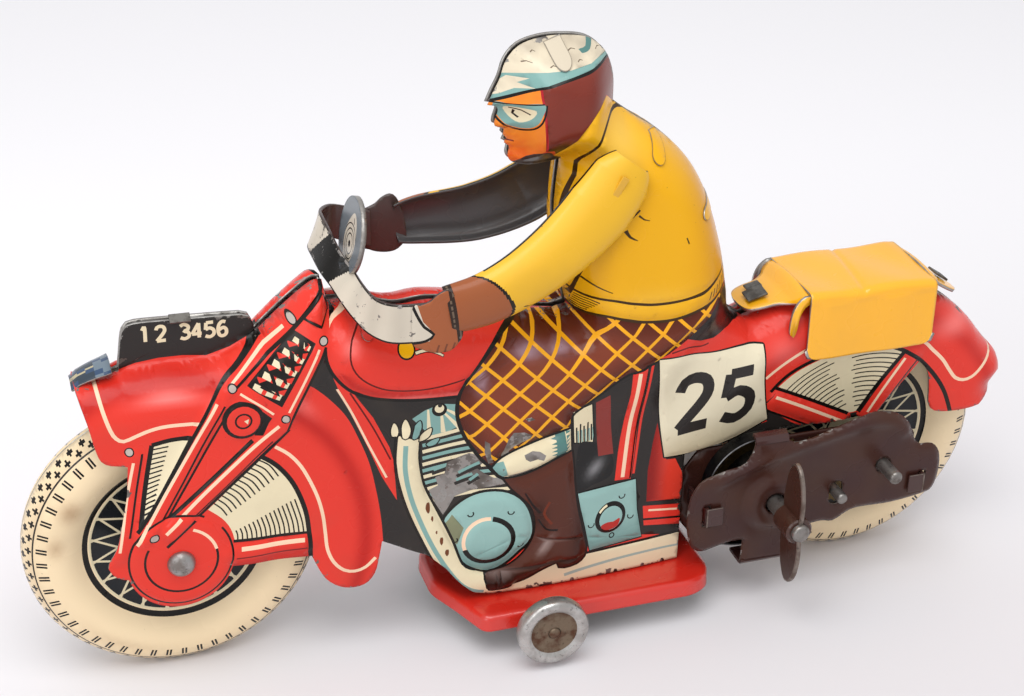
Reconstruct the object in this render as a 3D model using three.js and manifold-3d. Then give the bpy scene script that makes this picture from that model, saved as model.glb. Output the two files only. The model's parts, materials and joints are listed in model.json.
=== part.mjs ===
// Tin wind-up motorcycle with rider, modelled as the pieces that a press shop makes.
// Millimetres. The bench frame used below has x = 0 at the front axle (front of the machine towards -X),
// y = 0 on the seam between the two pressed halves (-Y is the machine's left) and z = 24 at both axles.
// The bench group is moved at the end so that the origin is the middle of the base of the whole toy.
import * as THREE from 'three';
import * as BufferGeometryUtils from 'three/addons/utils/BufferGeometryUtils.js';
import Module from 'manifold-3d';

const wasm = await Module();
wasm.setup();

// ---------- driving dimensions ----------
const GAP = 0.3;
const WHEEL_R = 26.2;
const WHEEL_Z = 24;
const WHEELBASE = 132.9;
const TYRE_HALF_WIDTH = 4.9;
const TYRE_CROWN_R = 20.4;
const RIM_R = 15.6;
const TIN = 0.8;
const SEAM_GAP = 0.15;
const ROLL_WIDTH = 8;
const GRID = 4.8;

const BASE_TOP = 7;
const BASE_BOTTOM = 4;
const BASE_HALF_WIDTH = 18.8;

const STABILISER = { x: 63.9, z: 5.65, r: 6.65, outer: 25.2, thick: 3, axleR: 1.1 };

const ARBOR = { x: 110.3, z: 20, r: 1.7, tip: -28 };
const LAYSHAFT = { x: 123.3, z: 19.7, r: 1.1, tip: -18.8 };
const REAR_AXLE = { x: WHEELBASE, z: WHEEL_Z, r: 1.3, tip: -21.2 };
const INNER_PLATE = { y: -6.9, thick: 0.7 };
const OUTER_PLATE = { y: -14.9, thick: 0.8 };

const GREAT_WHEEL = { teeth: 40, y: -8.75, thick: 0.5 };
const LAYSHAFT_PINION = { teeth: 10, y: -8.6, thick: 0.9 };
const LAYSHAFT_WHEEL = { teeth: 30, y: -7.95, thick: 0.35 };
const REAR_PINION = { teeth: 9, y: -7.85, thick: 0.6 };

// ---------- paints and metals ----------
const paint = (color, roughness = 0.35, metalness = 0) => ({ color, roughness, metalness });
const RED = paint(0xd8261c);
const BROWN = paint(0x2e1d1a, 0.4);
const CREAM = paint(0xd9cfb0, 0.4);
const YELLOW = paint(0xe8a91c, 0.35);
const STEEL = paint(0x8d8f90, 0.45, 0.9);
const SPRING_STEEL = paint(0x151517, 0.4, 0.7);
const BRASS = paint(0xa98c4b, 0.35, 0.9);

const group = new THREE.Group();
const bench = new THREE.Group();
group.add(bench);

function addMesh(name, geometry, finish, parent = bench) {
  const mesh = new THREE.Mesh(geometry, new THREE.MeshStandardMaterial(finish));
  mesh.name = name;
  parent.add(mesh);
  return mesh;
}

// ---------- booleans ----------
function toSolid(geometry) {
  const bare = geometry.clone();
  bare.deleteAttribute('normal');
  bare.deleteAttribute('uv');
  const merged = BufferGeometryUtils.mergeVertices(bare, 1e-5);
  const vertProperties = new Float32Array(merged.attributes.position.array);
  const triVerts = new Uint32Array(merged.index.array);
  return new wasm.Manifold(new wasm.Mesh({ numProp: 3, vertProperties, triVerts }));
}

function toGeometry(solid) {
  const mesh = solid.getMesh();
  const geometry = new THREE.BufferGeometry();
  geometry.setAttribute('position', new THREE.BufferAttribute(new Float32Array(mesh.vertProperties), 3));
  geometry.setIndex(new THREE.BufferAttribute(new Uint32Array(mesh.triVerts), 1));
  return geometry;
}

// A closed skin of triangles, turned to face outwards.
function closedSkin(position, index) {
  const skin = new THREE.BufferGeometry();
  skin.setAttribute('position', new THREE.BufferAttribute(new Float32Array(position), 3));
  skin.setIndex(index);
  if (toSolid(skin).volume() < 0) {
    for (let t = 0; t < index.length; t += 3) {
      [index[t], index[t + 1]] = [index[t + 1], index[t]];
    }
    skin.setIndex(index);
  }
  return skin;
}

const cut = (a, ...tools) => toGeometry(tools.reduce((s, t) => s.subtract(toSolid(t)), toSolid(a)));
const join = (a, ...more) => toGeometry(more.reduce((s, t) => s.add(toSolid(t)), toSolid(a)));

// ---------- plain shapes ----------
// A round bar along Y from yA to yB.
function barY(r, yA, yB, x, z, sides = 20) {
  const bar = new THREE.CylinderGeometry(r, r, Math.abs(yB - yA), sides);
  return bar.translate(x, (yA + yB) / 2, z);
}

// A tube along Y.
function tubeY(rOut, rIn, yA, yB, x, z, sides = 24) {
  const profile = [[rIn, yA], [rOut, yA], [rOut, yB], [rIn, yB], [rIn, yA]];
  const tube = new THREE.LatheGeometry(profile.map(([r, y]) => new THREE.Vector2(r, y)), sides);
  return tube.translate(x, 0, z);
}

// A flat outline in the X-Z plane, given thickness from yNear (more negative) to yFar.
function sheetXZ(points, yNear, yFar, holes = []) {
  const shape = new THREE.Shape(points.map(([x, z]) => new THREE.Vector2(x, z)));
  for (const hole of holes) {
    shape.holes.push(new THREE.Path(hole.map(([x, z]) => new THREE.Vector2(x, z))));
  }
  const solid = new THREE.ExtrudeGeometry(shape, { depth: yFar - yNear, bevelEnabled: false });
  return solid.rotateX(Math.PI / 2).translate(0, yFar, 0);
}

const circle = (x, z, r, sides = 20) => Array.from({ length: sides }, (_, i) => {
  const a = (2 * Math.PI * i) / sides;
  return [x + r * Math.cos(a), z + r * Math.sin(a)];
});

const arc = (x, z, r, from, to, steps) => Array.from({ length: steps + 1 }, (_, i) => {
  const a = THREE.MathUtils.degToRad(from + ((to - from) * i) / steps);
  return [x + r * Math.cos(a), z + r * Math.sin(a)];
});

// ---------- pressed body halves ----------
// The seam runs along the top of the toy, from the tip of the front mudguard to the tail.
const PLATE_TOP = [[-6.8, 58.5], [-5.8, 65], [-4, 66.5], [14.3, 65.7], [16, 64.3], [16.5, 62.3]];
const SEAM_FRONT = [[-14.5, 57.5], [-7, 58.3]];
const SEAM_UNDER_PLATE = [[0, 58.7], [8, 58.7], [12, 60], [16.5, 62.3]];
const SEAM_FORK_AND_TANK = [
  [20.5, 66], [27.2, 70.6], [28.4, 70.4], [29, 66.6], [32, 66.4], [35, 66], [41, 64], [47, 64.2], [54, 63], [62, 61],
  [70, 59.4],
];
const SEAM_RIDER = [
  [72.5, 60], [71, 68], [69.8, 78], [70.5, 88], [66, 87.6], [62, 88.6], [60.2, 94], [57.5, 98.8],
  [59.6, 103], [60.6, 107], [64.5, 109.4], [70, 110], [75, 109.3], [78.4, 106.5], [79.8, 102], [80, 97.5],
  [83, 95.2], [89, 91], [94, 86], [97.6, 79.5], [100.6, 70], [102.3, 62], [104, 55.5], [107.5, 52.6],
];
const SEAM_REAR = [
  [114, 55], [121, 56.8], [129, 57.3], [137, 56.4], [144, 54], [150, 51], [155, 46.8], [159.5, 41.5],
  [163, 37.6], [164, 34.5], [162, 31.5],
];
const SEAM = [...SEAM_FRONT, ...SEAM_UNDER_PLATE, ...SEAM_FORK_AND_TANK, ...SEAM_RIDER, ...SEAM_REAR];
const TOP_EDGE = [
  SEAM_FRONT[0], ...PLATE_TOP, ...SEAM_FORK_AND_TANK, ...SEAM_RIDER, ...SEAM_REAR,
];

const HUB_R = 9.3;
const FRONT_HUB = [0, WHEEL_Z];
const REAR_HUB = [WHEELBASE, WHEEL_Z];

// The free edges, listed from the tail forwards. The left half stops where the clockwork stands.
const TAIL_EDGE = [[157.5, 29], [147, 29.3], [145.8, 32], [145.2, 38], [142.6, 41]];
const LEFT_MOTOR_EDGE = [[135.5, 30.5], [128, 29.6], [94, 29.6], [93.4, BASE_TOP + GAP]];
const RIGHT_HUB_EDGE = [...arc(...REAR_HUB, HUB_R, 62, -165, 9), [112, 14], [97.5, BASE_TOP + GAP]];
const SILL_EDGE = [[58, BASE_TOP + GAP], [53.5, 8], [50, 11], [46.5, 15.5], [43.5, 18]];
const FRONT_EDGE = [
  [36, 21], [35, 16], [33, 12.4], [29, 11.8], [25.4, 14.5], [23.2, 20], [9, 21.3],
  ...arc(...FRONT_HUB, HUB_R, -17, -167, 8), [-12, 23.6], [-10.5, 29], [-8, 38], [-7.4, 43.5], [-11.3, 44.6],
  [-13, 51],
];

// How far the pressing stands off the seam plane, as a few stations [x, z, depth] blended smoothly.
const STATIONS = [
  [-12, 48, 6.4], [0, 50, 7.2], [12, 50, 7.4], [22, 44, 7.6], [29, 30, 7.8], [30, 16, 7.8], [0, 24, 8.8],
  [8, 38, 8.6], [20, 58, 8.6], [38, 56, 9.6], [50, 55, 10.4], [46, 36, 9.8], [48, 18, 10.6], [56, 10, 11],
  [70, 9, 11], [84, 9, 11], [94, 10, 9.6], [60, 42, 12.2], [68, 30, 12.6], [68, 16, 12.2], [70, 52, 12.4],
  [82, 52, 12.2], [84, 66, 12], [84, 80, 12], [92, 84, 10], [92, 70, 11.4], [70, 100, 8.6], [66, 94, 8.4],
  [80, 34, 10], [88, 24, 10], [98, 42, 9], [98, 22, 8.4], [112, 36, 5.6], [130, 36, 5.2], [120, 33, 5.2],
  [106, 30, 6.4], [104, 44, 8.6], [118, 30, 5.2],
  [120, 48, 8], [135, 48, 8], [150, 42, 7.6], [158, 34, 7.2], [141, 36, 6.6], [70, 88, 7.8],
];
const STATION_SPREAD = 6;

function fullDepth(x, z) {
  let sum = 0;
  let weights = 1e-12;
  for (const [sx, sz, depth] of STATIONS) {
    const w = Math.exp(-((x - sx) ** 2 + (z - sz) ** 2) / (2 * STATION_SPREAD ** 2));
    sum += w * depth;
    weights += w;
  }
  return (sum + 8e-12) / weights;
}

// The point of a line nearest to (x, z), and how far off it is.
function nearestOnLine(line, x, z) {
  let best = { d: Infinity };
  for (let i = 0; i + 1 < line.length; i += 1) {
    const [ax, az] = line[i];
    const [bx, bz] = line[i + 1];
    const t = ((x - ax) * (bx - ax) + (z - az) * (bz - az)) / ((bx - ax) ** 2 + (bz - az) ** 2);
    const k = Math.min(1, Math.max(0, t));
    const at = [ax + k * (bx - ax), az + k * (bz - az)];
    const d = Math.hypot(x - at[0], z - at[1]);
    if (d < best.d) best = { d, at };
  }
  return best;
}

// Below the seam the pressing has depth; above it, as on the number plate, the tin lies flat.
const UNDER_SEAM = [...SEAM, [SEAM[SEAM.length - 1][0], -50], [SEAM[0][0] - 9, -50], [SEAM[0][0] - 9, SEAM[0][1]]];
function isUnderSeam(x, z) {
  let inside = false;
  UNDER_SEAM.forEach(([ax, az], i) => {
    const [bx, bz] = UNDER_SEAM[(i + 1) % UNDER_SEAM.length];
    if ((az > z) !== (bz > z) && x < ax + ((z - az) * (bx - ax)) / (bz - az)) inside = !inside;
  });
  return inside;
}

function relief(x, z) {
  if (!isUnderSeam(x, z)) return 0;
  const d = Math.min(1, nearestOnLine(SEAM, x, z).d / ROLL_WIDTH);
  return fullDepth(x, z) * Math.sqrt(1 - (1 - d) ** 2);
}

// A grid point close to the seam is moved onto it, so that the halves meet there.
function onGrid(x, z) {
  const near = nearestOnLine(SEAM, x, z);
  return near.d < 0.45 * GRID ? [...near.at, 0] : [x, z, relief(x, z)];
}

// A closed slab that follows the relief over a rectangular grid.
function reliefSlab(side) {
  const [x0, x1, z0, z1] = [-20, 168, 4, 114];
  const nx = Math.ceil((x1 - x0) / GRID);
  const nz = Math.ceil((z1 - z0) / GRID);
  const position = [];
  for (const back of [0, 1]) {
    for (let j = 0; j <= nz; j += 1) {
      for (let i = 0; i <= nx; i += 1) {
        const [x, z, depth] = onGrid(x0 + ((x1 - x0) * i) / nx, z0 + ((z1 - z0) * j) / nz);
        const outer = SEAM_GAP + TIN + depth;
        position.push(x, side * (back ? outer - TIN : outer), z);
      }
    }
  }
  const row = nx + 1;
  const back = row * (nz + 1);
  const index = [];
  const quad = (a, b, c, d) => {
    if (side < 0) index.push(a, b, c, a, c, d);
    else index.push(a, c, b, a, d, c);
  };
  for (let j = 0; j < nz; j += 1) {
    for (let i = 0; i < nx; i += 1) {
      const k = j * row + i;
      quad(k, k + 1, k + row + 1, k + row);
      quad(back + k, back + k + row, back + k + row + 1, back + k + 1);
    }
  }
  for (let i = 0; i < nx; i += 1) {
    const top = nz * row + i;
    quad(i, back + i, back + i + 1, i + 1);
    quad(top, top + 1, back + top + 1, back + top);
  }
  for (let j = 0; j < nz; j += 1) {
    const left = j * row;
    const right = left + nx;
    quad(left, left + row, back + left + row, back + left);
    quad(right, back + right, back + right + row, right + row);
  }
  const slab = new THREE.BufferGeometry();
  slab.setAttribute('position', new THREE.BufferAttribute(new Float32Array(position), 3));
  slab.setIndex(index);
  return slab;
}

function bodyHalf(side, motorEdge) {
  const outline = [...TOP_EDGE, ...TAIL_EDGE, ...motorEdge, ...SILL_EDGE, ...FRONT_EDGE];
  const prism = toSolid(sheetXZ(outline, -20, 20));
  const axleHole = toSolid(barY(1.5 + GAP, -20, 20, ...FRONT_HUB, 16));
  const rearHole = toSolid(barY(REAR_AXLE.r + GAP, -20, 20, ...REAR_HUB, 16));
  return toGeometry(toSolid(reliefSlab(side)).intersect(prism).subtract(axleHole).subtract(rearHole));
}

addMesh('body_left', bodyHalf(-1, LEFT_MOTOR_EDGE), RED);
addMesh('body_right', bodyHalf(1, RIGHT_HUB_EDGE), RED);

// ---------- wheels: two pressed discs each ----------
function wheelDisc(side, x, bore) {
  const hub = 2.3;
  const wall = 0.6;
  const profile = [
    [bore, hub], [RIM_R - 0.6, hub], [RIM_R + 0.6, 3.6], [TYRE_CROWN_R, TYRE_HALF_WIDTH], [24.6, 3.7],
    [WHEEL_R, SEAM_GAP], [WHEEL_R - wall, SEAM_GAP], [24, 3.1], [TYRE_CROWN_R, TYRE_HALF_WIDTH - wall],
    [RIM_R + 1.2, 3.2],
    [RIM_R - 0.3, hub - wall], [bore, hub - wall], [bore, hub],
  ];
  const turned = new THREE.LatheGeometry(
    profile.reverse().map(([r, y]) => new THREE.Vector2(r, y)), 26,
  );
  if (side < 0) turned.rotateX(Math.PI);
  return turned.translate(x, 0, WHEEL_Z);
}

const BUSH_R = 2.7;
addMesh('front_wheel_left', wheelDisc(-1, 0, BUSH_R + 0.2), CREAM);
addMesh('front_wheel_right', wheelDisc(1, 0, BUSH_R + 0.2), CREAM);
addMesh('rear_wheel_left', wheelDisc(-1, WHEELBASE, REAR_AXLE.r + GAP), CREAM);
addMesh('rear_wheel_right', wheelDisc(1, WHEELBASE, REAR_AXLE.r + GAP), CREAM);

// The front axle is a rivet through both fork ends, and a bush on it keeps them apart.
const HUB_OUT = relief(...FRONT_HUB) + SEAM_GAP + TIN;
const rivetHead = (side) => {
  const profile = [[0, 0], [2.35, 0], [2.3, 0.7], [1.7, 1.4], [0, 1.75]].map(([r, y]) => new THREE.Vector2(r, y));
  const head = new THREE.LatheGeometry(profile, 16);
  if (side < 0) head.rotateX(Math.PI);
  return head.translate(0, side * (HUB_OUT + GAP), WHEEL_Z);
};
const rivetShank = barY(1.5, -HUB_OUT - GAP - 0.2, HUB_OUT + GAP + 0.2, 0, WHEEL_Z, 16);
addMesh('front_axle_rivet', join(rivetShank, rivetHead(-1), rivetHead(1)), STEEL);
addMesh('front_axle_bush', tubeY(BUSH_R, 1.8, -HUB_OUT + TIN + 0.8, HUB_OUT - TIN - 0.8, 0, WHEEL_Z, 16), STEEL);

// ---------- base pan under the engine ----------
const BASE_OUTLINE = [
  [46.4, -4.5], [49.2, -10.5], [52.6, -BASE_HALF_WIDTH], [93.5, -BASE_HALF_WIDTH], [97, -17], [98.6, -13.5],
  [98.6, 13.5], [97, 17], [93.5, BASE_HALF_WIDTH], [52.6, BASE_HALF_WIDTH], [49.2, 10.5], [46.4, 4.5],
];
const insetOutline = (points, by) => points.map(([x, y]) => [
  x + (x < 72 ? by : -by), y - Math.sign(y) * by,
]);
function prismXY(points, z0, z1) {
  const shape = new THREE.Shape(points.map(([x, y]) => new THREE.Vector2(x, y)));
  return new THREE.ExtrudeGeometry(shape, { depth: z1 - z0, bevelEnabled: false }).translate(0, 0, z0);
}
const EAR_BOTTOM = STABILISER.z - STABILISER.axleR - 1.1;
const axleEar = (side) => new THREE.BoxGeometry(6, TIN, BASE_TOP - TIN - EAR_BOTTOM)
  .translate(STABILISER.x, side * (BASE_HALF_WIDTH - TIN / 2), (BASE_TOP - TIN + EAR_BOTTOM) / 2);
const pan = join(
  cut(
    prismXY(BASE_OUTLINE, BASE_BOTTOM, BASE_TOP),
    prismXY(insetOutline(BASE_OUTLINE, TIN), BASE_BOTTOM - 1, BASE_TOP - TIN),
  ),
  axleEar(-1),
  axleEar(1),
);
const axleSlot = new THREE.BoxGeometry(2 * (STABILISER.axleR + GAP), 60, 3)
  .translate(STABILISER.x, 0, STABILISER.z + STABILISER.axleR + GAP - 1.5);
addMesh('base_pan', cut(pan, axleSlot), RED);

// ---------- stabiliser wheels on one wire axle ----------
const stabInner = STABILISER.outer - STABILISER.thick;
const stabWheel = (side) => {
  const profile = [
    [STABILISER.axleR + 0.2, 0], [STABILISER.r, 0], [STABILISER.r, 2.2], [6, STABILISER.thick], [4.3, 2.4],
    [STABILISER.axleR + 0.2, 2.4], [STABILISER.axleR + 0.2, 0],
  ].map(([r, y]) => new THREE.Vector2(r, y));
  const disc = new THREE.LatheGeometry(profile, 24);
  if (side < 0) disc.rotateX(Math.PI);
  return disc.translate(STABILISER.x, side * stabInner, STABILISER.z);
};
const stabAxleEnd = stabInner + 2.6;
addMesh('stabiliser_axle', barY(STABILISER.axleR, -stabAxleEnd, stabAxleEnd, STABILISER.x, STABILISER.z, 16), STEEL);
addMesh('stabiliser_wheel_left', stabWheel(-1), STEEL);
addMesh('stabiliser_wheel_right', stabWheel(1), STEEL);

// ---------- clockwork ----------
// A toothed outline; phase turns the first tooth away from +X.
function gearOutline(x, z, pitchR, teeth, phase) {
  const module = (2 * pitchR) / teeth;
  const tip = pitchR + 0.72 * module;
  const root = pitchR - 1.05 * module;
  const outline = [];
  for (let i = 0; i < teeth; i += 1) {
    const a = phase + (2 * Math.PI * i) / teeth;
    const step = (2 * Math.PI) / teeth;
    for (const [k, r] of [[-0.27, root], [-0.08, tip], [0.08, tip], [0.27, root]]) {
      outline.push([x + r * Math.cos(a + k * step), z + r * Math.sin(a + k * step)]);
    }
  }
  return outline;
}

function gear(spec, x, z, pitchR, phase, bore) {
  return sheetXZ(gearOutline(x, z, pitchR, spec.teeth, phase), spec.y - spec.thick, spec.y, [circle(x, z, bore, 14)]);
}

const between = (a, b) => ({ d: Math.hypot(b.x - a.x, b.z - a.z), angle: Math.atan2(b.z - a.z, b.x - a.x) });
const first = between(ARBOR, LAYSHAFT);
const second = between(LAYSHAFT, REAR_AXLE);
const greatR = (first.d * GREAT_WHEEL.teeth) / (GREAT_WHEEL.teeth + LAYSHAFT_PINION.teeth);
const layWheelR = (second.d * LAYSHAFT_WHEEL.teeth) / (LAYSHAFT_WHEEL.teeth + REAR_PINION.teeth);

// Each driver shows a tooth to the next shaft and each pinion a gap, so that they are in mesh at rest.
const gapToward = (angle, teeth) => angle + Math.PI + Math.PI / teeth;
addMesh('great_wheel', gear(
  GREAT_WHEEL, ARBOR.x, ARBOR.z, greatR, first.angle, ARBOR.r + 0.2,
), BRASS);
addMesh('layshaft_pinion', gear(
  LAYSHAFT_PINION, LAYSHAFT.x, LAYSHAFT.z, first.d - greatR, gapToward(first.angle, 10), LAYSHAFT.r + 0.2,
), STEEL);
addMesh('layshaft_wheel', gear(
  LAYSHAFT_WHEEL, LAYSHAFT.x, LAYSHAFT.z, layWheelR, second.angle, LAYSHAFT.r + 0.2,
), BRASS);
addMesh('rear_pinion', gear(
  REAR_PINION, REAR_AXLE.x, REAR_AXLE.z, second.d - layWheelR, gapToward(second.angle, 9), REAR_AXLE.r + 0.2,
), STEEL);

const innerFace = INNER_PLATE.y + 0.6;
addMesh('winding_arbor', barY(ARBOR.r, innerFace, ARBOR.tip, ARBOR.x, ARBOR.z), STEEL);
addMesh('layshaft', barY(LAYSHAFT.r, innerFace, LAYSHAFT.tip, LAYSHAFT.x, LAYSHAFT.z, 16), STEEL);
addMesh('rear_axle', barY(REAR_AXLE.r, REAR_AXLE.tip, 11.5, REAR_AXLE.x, REAR_AXLE.z, 16), STEEL);

// The ratchet turns with the arbor, and the click that holds it is riveted to the great wheel.
const RATCHET = { r: 3.6, root: 3, teeth: 8, y: -9.55, thick: 0.5 };
const ratchetOutline = [];
for (let i = 0; i < RATCHET.teeth; i += 1) {
  const a = (2 * Math.PI * i) / RATCHET.teeth;
  ratchetOutline.push([ARBOR.x + RATCHET.r * Math.cos(a), ARBOR.z + RATCHET.r * Math.sin(a)]);
  ratchetOutline.push([ARBOR.x + RATCHET.root * Math.cos(a + 0.12), ARBOR.z + RATCHET.root * Math.sin(a + 0.12)]);
}
addMesh('ratchet_wheel', sheetXZ(
  ratchetOutline, RATCHET.y - RATCHET.thick, RATCHET.y, [circle(ARBOR.x, ARBOR.z, ARBOR.r + 0.2, 14)],
), STEEL);

const CLICK_PIVOT = { x: ARBOR.x + 1.5, z: ARBOR.z + 6.6 };
const clickOutline = [
  ...arc(CLICK_PIVOT.x, CLICK_PIVOT.z, 1.5, -60, 150, 8),
  [ARBOR.x - 2.2, ARBOR.z + 5.1], [ARBOR.x - 2.9, ARBOR.z + 3.7], [ARBOR.x - 1.9, ARBOR.z + 4.1],
  [ARBOR.x + 0.6, ARBOR.z + 5],
];
addMesh('click', sheetXZ(
  clickOutline, RATCHET.y - RATCHET.thick, RATCHET.y, [circle(CLICK_PIVOT.x, CLICK_PIVOT.z, 0.9, 12)],
), STEEL);
const clickSpringLine = [
  [ARBOR.x + 4.6, ARBOR.z + 4.4], [ARBOR.x + 5.2, ARBOR.z + 6.2], [ARBOR.x + 3.8, ARBOR.z + 8.5],
  [ARBOR.x + 0.4, ARBOR.z + 8.75], [ARBOR.x - 2.4, ARBOR.z + 6.9],
];
const ribbon = (line, half) => {
  const left = [];
  const right = [];
  line.forEach(([x, z], i) => {
    const [ax, az] = line[Math.max(0, i - 1)];
    const [bx, bz] = line[Math.min(line.length - 1, i + 1)];
    const n = Math.hypot(bx - ax, bz - az);
    left.push([x - ((bz - az) / n) * half, z + ((bx - ax) / n) * half]);
    right.unshift([x + ((bz - az) / n) * half, z - ((bx - ax) / n) * half]);
  });
  return [...left, ...right];
};
addMesh('click_spring', sheetXZ(ribbon(clickSpringLine, 0.16), RATCHET.y - 0.45, RATCHET.y - 0.05), SPRING_STEEL);

// The mainspring is one strip: tight round the arbor, slack and off centre at its outer coil.
const SPRING = {
  turns: 4.6, inner: 2.6, outer: 13.1, slackX: 106.3, slackZ: 22.2, half: 0.2, yNear: -13.2, yFar: -10.2,
  slackness: 1.8, end: -2.3,
};
const springLine = [];
const SPRING_STEPS = 76;
for (let i = 0; i <= SPRING_STEPS; i += 1) {
  const t = i / SPRING_STEPS;
  const a = SPRING.end + 2 * Math.PI * SPRING.turns * (1 - t);
  const slack = t ** SPRING.slackness;
  const r = SPRING.inner + (SPRING.outer - SPRING.inner) * slack;
  const cx = ARBOR.x + (SPRING.slackX - ARBOR.x) * slack;
  const cz = ARBOR.z + (SPRING.slackZ - ARBOR.z) * slack;
  springLine.push([cx + r * Math.cos(a), cz + r * Math.sin(a)]);
}
addMesh('mainspring', sheetXZ(ribbon(springLine, SPRING.half), SPRING.yNear, SPRING.yFar), SPRING_STEEL);

// The outer plate is embossed round the arbor, slotted for the layshaft, and folded inwards at a flange and a bridge.
const OUTER_OUTLINE = [
  [95.6, 27.4], [93.6, 24], [92.8, 20], [93.3, 15], [94.8, 11.6], [97, 11], [105.6, 12.2], [107, 12.4], [116, 12.6],
  [121, 13.2], [124, 12.7], [127.5, 14.8], [136, 14.8], [144.6, 16.2], [145.5, 20.5], [145, 24.4], [143, 27],
  [139.4, 27.8], [137.6, 32.4], [134, 35], [130, 36], [124, 34.8], [112, 31], [103, 28.4],
];
const hole = (at, r) => barY(r, -20, 0, at.x, at.z, 16);
const layslot = join(
  hole({ x: LAYSHAFT.x, z: LAYSHAFT.z + 1 }, LAYSHAFT.r + GAP),
  hole({ x: LAYSHAFT.x, z: LAYSHAFT.z - 1.4 }, LAYSHAFT.r + GAP),
  new THREE.BoxGeometry(2 * (LAYSHAFT.r + GAP), 20, 2.4).translate(LAYSHAFT.x, -10, LAYSHAFT.z - 0.2),
);
// The upper flange only turns the edge in; the lower bridge runs back under the spring.
const BRIDGE_FAR = -10.1;
const FLANGE_FAR = -13.6;
const bridge = (x0, x1, z0, far) => new THREE.BoxGeometry(x1 - x0, far - OUTER_PLATE.y + TIN, TIN)
  .translate((x0 + x1) / 2, (far + OUTER_PLATE.y - TIN) / 2, z0);
const plateLug = (x0, x1, z0, z1) => new THREE.BoxGeometry(x1 - x0, OUTER_PLATE.thick, z1 - z0)
  .translate((x0 + x1) / 2, OUTER_PLATE.y - OUTER_PLATE.thick / 2, (z0 + z1) / 2);
const lockSlot = (x) => new THREE.BoxGeometry(1.4, 6, 4.6).translate(x, OUTER_PLATE.y, 19);
const boss = new THREE.LatheGeometry(
  [[0, 0.4], [6.2, 0.4], [4.6, -1.2], [0, -1.2]].reverse().map(([r, y]) => new THREE.Vector2(r, y)), 24,
).translate(ARBOR.x, OUTER_PLATE.y - OUTER_PLATE.thick, ARBOR.z);
const outerPlate = cut(
  join(
    sheetXZ(OUTER_OUTLINE, OUTER_PLATE.y - OUTER_PLATE.thick, OUTER_PLATE.y),
    boss,
    plateLug(105.6, 112.4, 28, 33.6),
    bridge(105.6, 112.4, 33.2, FLANGE_FAR),
    plateLug(104.6, 114, 6.6, 13),
    bridge(104.6, 114, 7, BRIDGE_FAR),
  ),
  hole(ARBOR, ARBOR.r + GAP),
  hole(REAR_AXLE, REAR_AXLE.r + GAP),
  layslot,
  lockSlot(96.6),
  lockSlot(141.6),
);
addMesh('motor_outer_plate', outerPlate, BROWN);

// The inner plate carries two cross strips whose ends are bent over in the outer plate's slots.
const crossStrip = (x) => new THREE.BoxGeometry(0.7, OUTER_PLATE.thick - OUTER_PLATE.y + INNER_PLATE.y + 0.4, 3.8)
  .translate(x, (OUTER_PLATE.y - OUTER_PLATE.thick - 0.4 + INNER_PLATE.y) / 2, 19);
const INNER_OUTLINE = [
  [94.6, 24], [94.4, 14], [98, 9], [112, 8], [128, 12.6], [143, 14.8], [144, 25], [140, 28.6], [98, 28.6],
];
const lockTab = (x, way) => new THREE.BoxGeometry(3.2, 0.4, 3.8)
  .translate(x + way * 1.4, OUTER_PLATE.y - OUTER_PLATE.thick - GAP - 0.2, 19);
const innerPlate = cut(
  join(
    sheetXZ(INNER_OUTLINE, INNER_PLATE.y - INNER_PLATE.thick, INNER_PLATE.y),
    crossStrip(96.6),
    crossStrip(141.6),
    lockTab(96.6, 1),
    lockTab(141.6, -1),
  ),
  hole(ARBOR, ARBOR.r + GAP),
  hole(REAR_AXLE, REAR_AXLE.r + GAP),
  hole(LAYSHAFT, LAYSHAFT.r + GAP),
);
addMesh('motor_inner_plate', innerPlate, BROWN);

// The butterfly key is one strip folded round the arbor's end, with a wing each way.
const KEY = { yNear: -27.3, yFar: -20.4, thick: 0.9, reach: 12.8 };
const keyShape = new THREE.Shape();
const keyMid = (KEY.yNear + KEY.yFar) / 2;
const keyHalf = (KEY.yFar - KEY.yNear) / 2;
keyShape.moveTo(-keyHalf * 0.8, 0);
keyShape.bezierCurveTo(-keyHalf * 1.2, 5, -keyHalf, KEY.reach, 0.6, KEY.reach);
keyShape.bezierCurveTo(keyHalf, KEY.reach, keyHalf * 1.1, 6, keyHalf * 0.8, 0);
keyShape.bezierCurveTo(keyHalf * 1.1, -6, keyHalf, -KEY.reach, 0.6, -KEY.reach);
keyShape.bezierCurveTo(-keyHalf, -KEY.reach, -keyHalf * 1.2, -5, -keyHalf * 0.8, 0);
const wings = new THREE.ExtrudeGeometry(keyShape, { depth: KEY.thick, bevelEnabled: false, curveSegments: 6 })
  .translate(0, 0, -KEY.thick / 2)
  .applyMatrix4(new THREE.Matrix4().makeBasis(
    new THREE.Vector3(0, 1, 0), new THREE.Vector3(0, 0, 1), new THREE.Vector3(1, 0, 0),
  ))
  .translate(ARBOR.x, keyMid, ARBOR.z);
const barrel = barY(ARBOR.r + 0.9, KEY.yNear + 0.6, KEY.yFar - 0.4, ARBOR.x, ARBOR.z, 16);
addMesh('winding_key', cut(join(wings, barrel), barY(ARBOR.r + 0.1, -30, 0, ARBOR.x, ARBOR.z, 20)), BROWN);

// ---------- handlebar: one bent strip with the headlamp disc standing on its middle ----------
const BAR_LINE = [
  [44, 17.3, 70.4], [39, 17.4, 71.2], [33.5, 16.3, 73], [29.4, 11.8, 74.8], [29.2, 7, 75], [30.3, 1, 74],
  [31.2, -5, 72], [32.6, -11.5, 70.4], [35.2, -16, 69.2], [39.5, -17.8, 68.6], [44.4, -17.6, 68.7],
];

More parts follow.
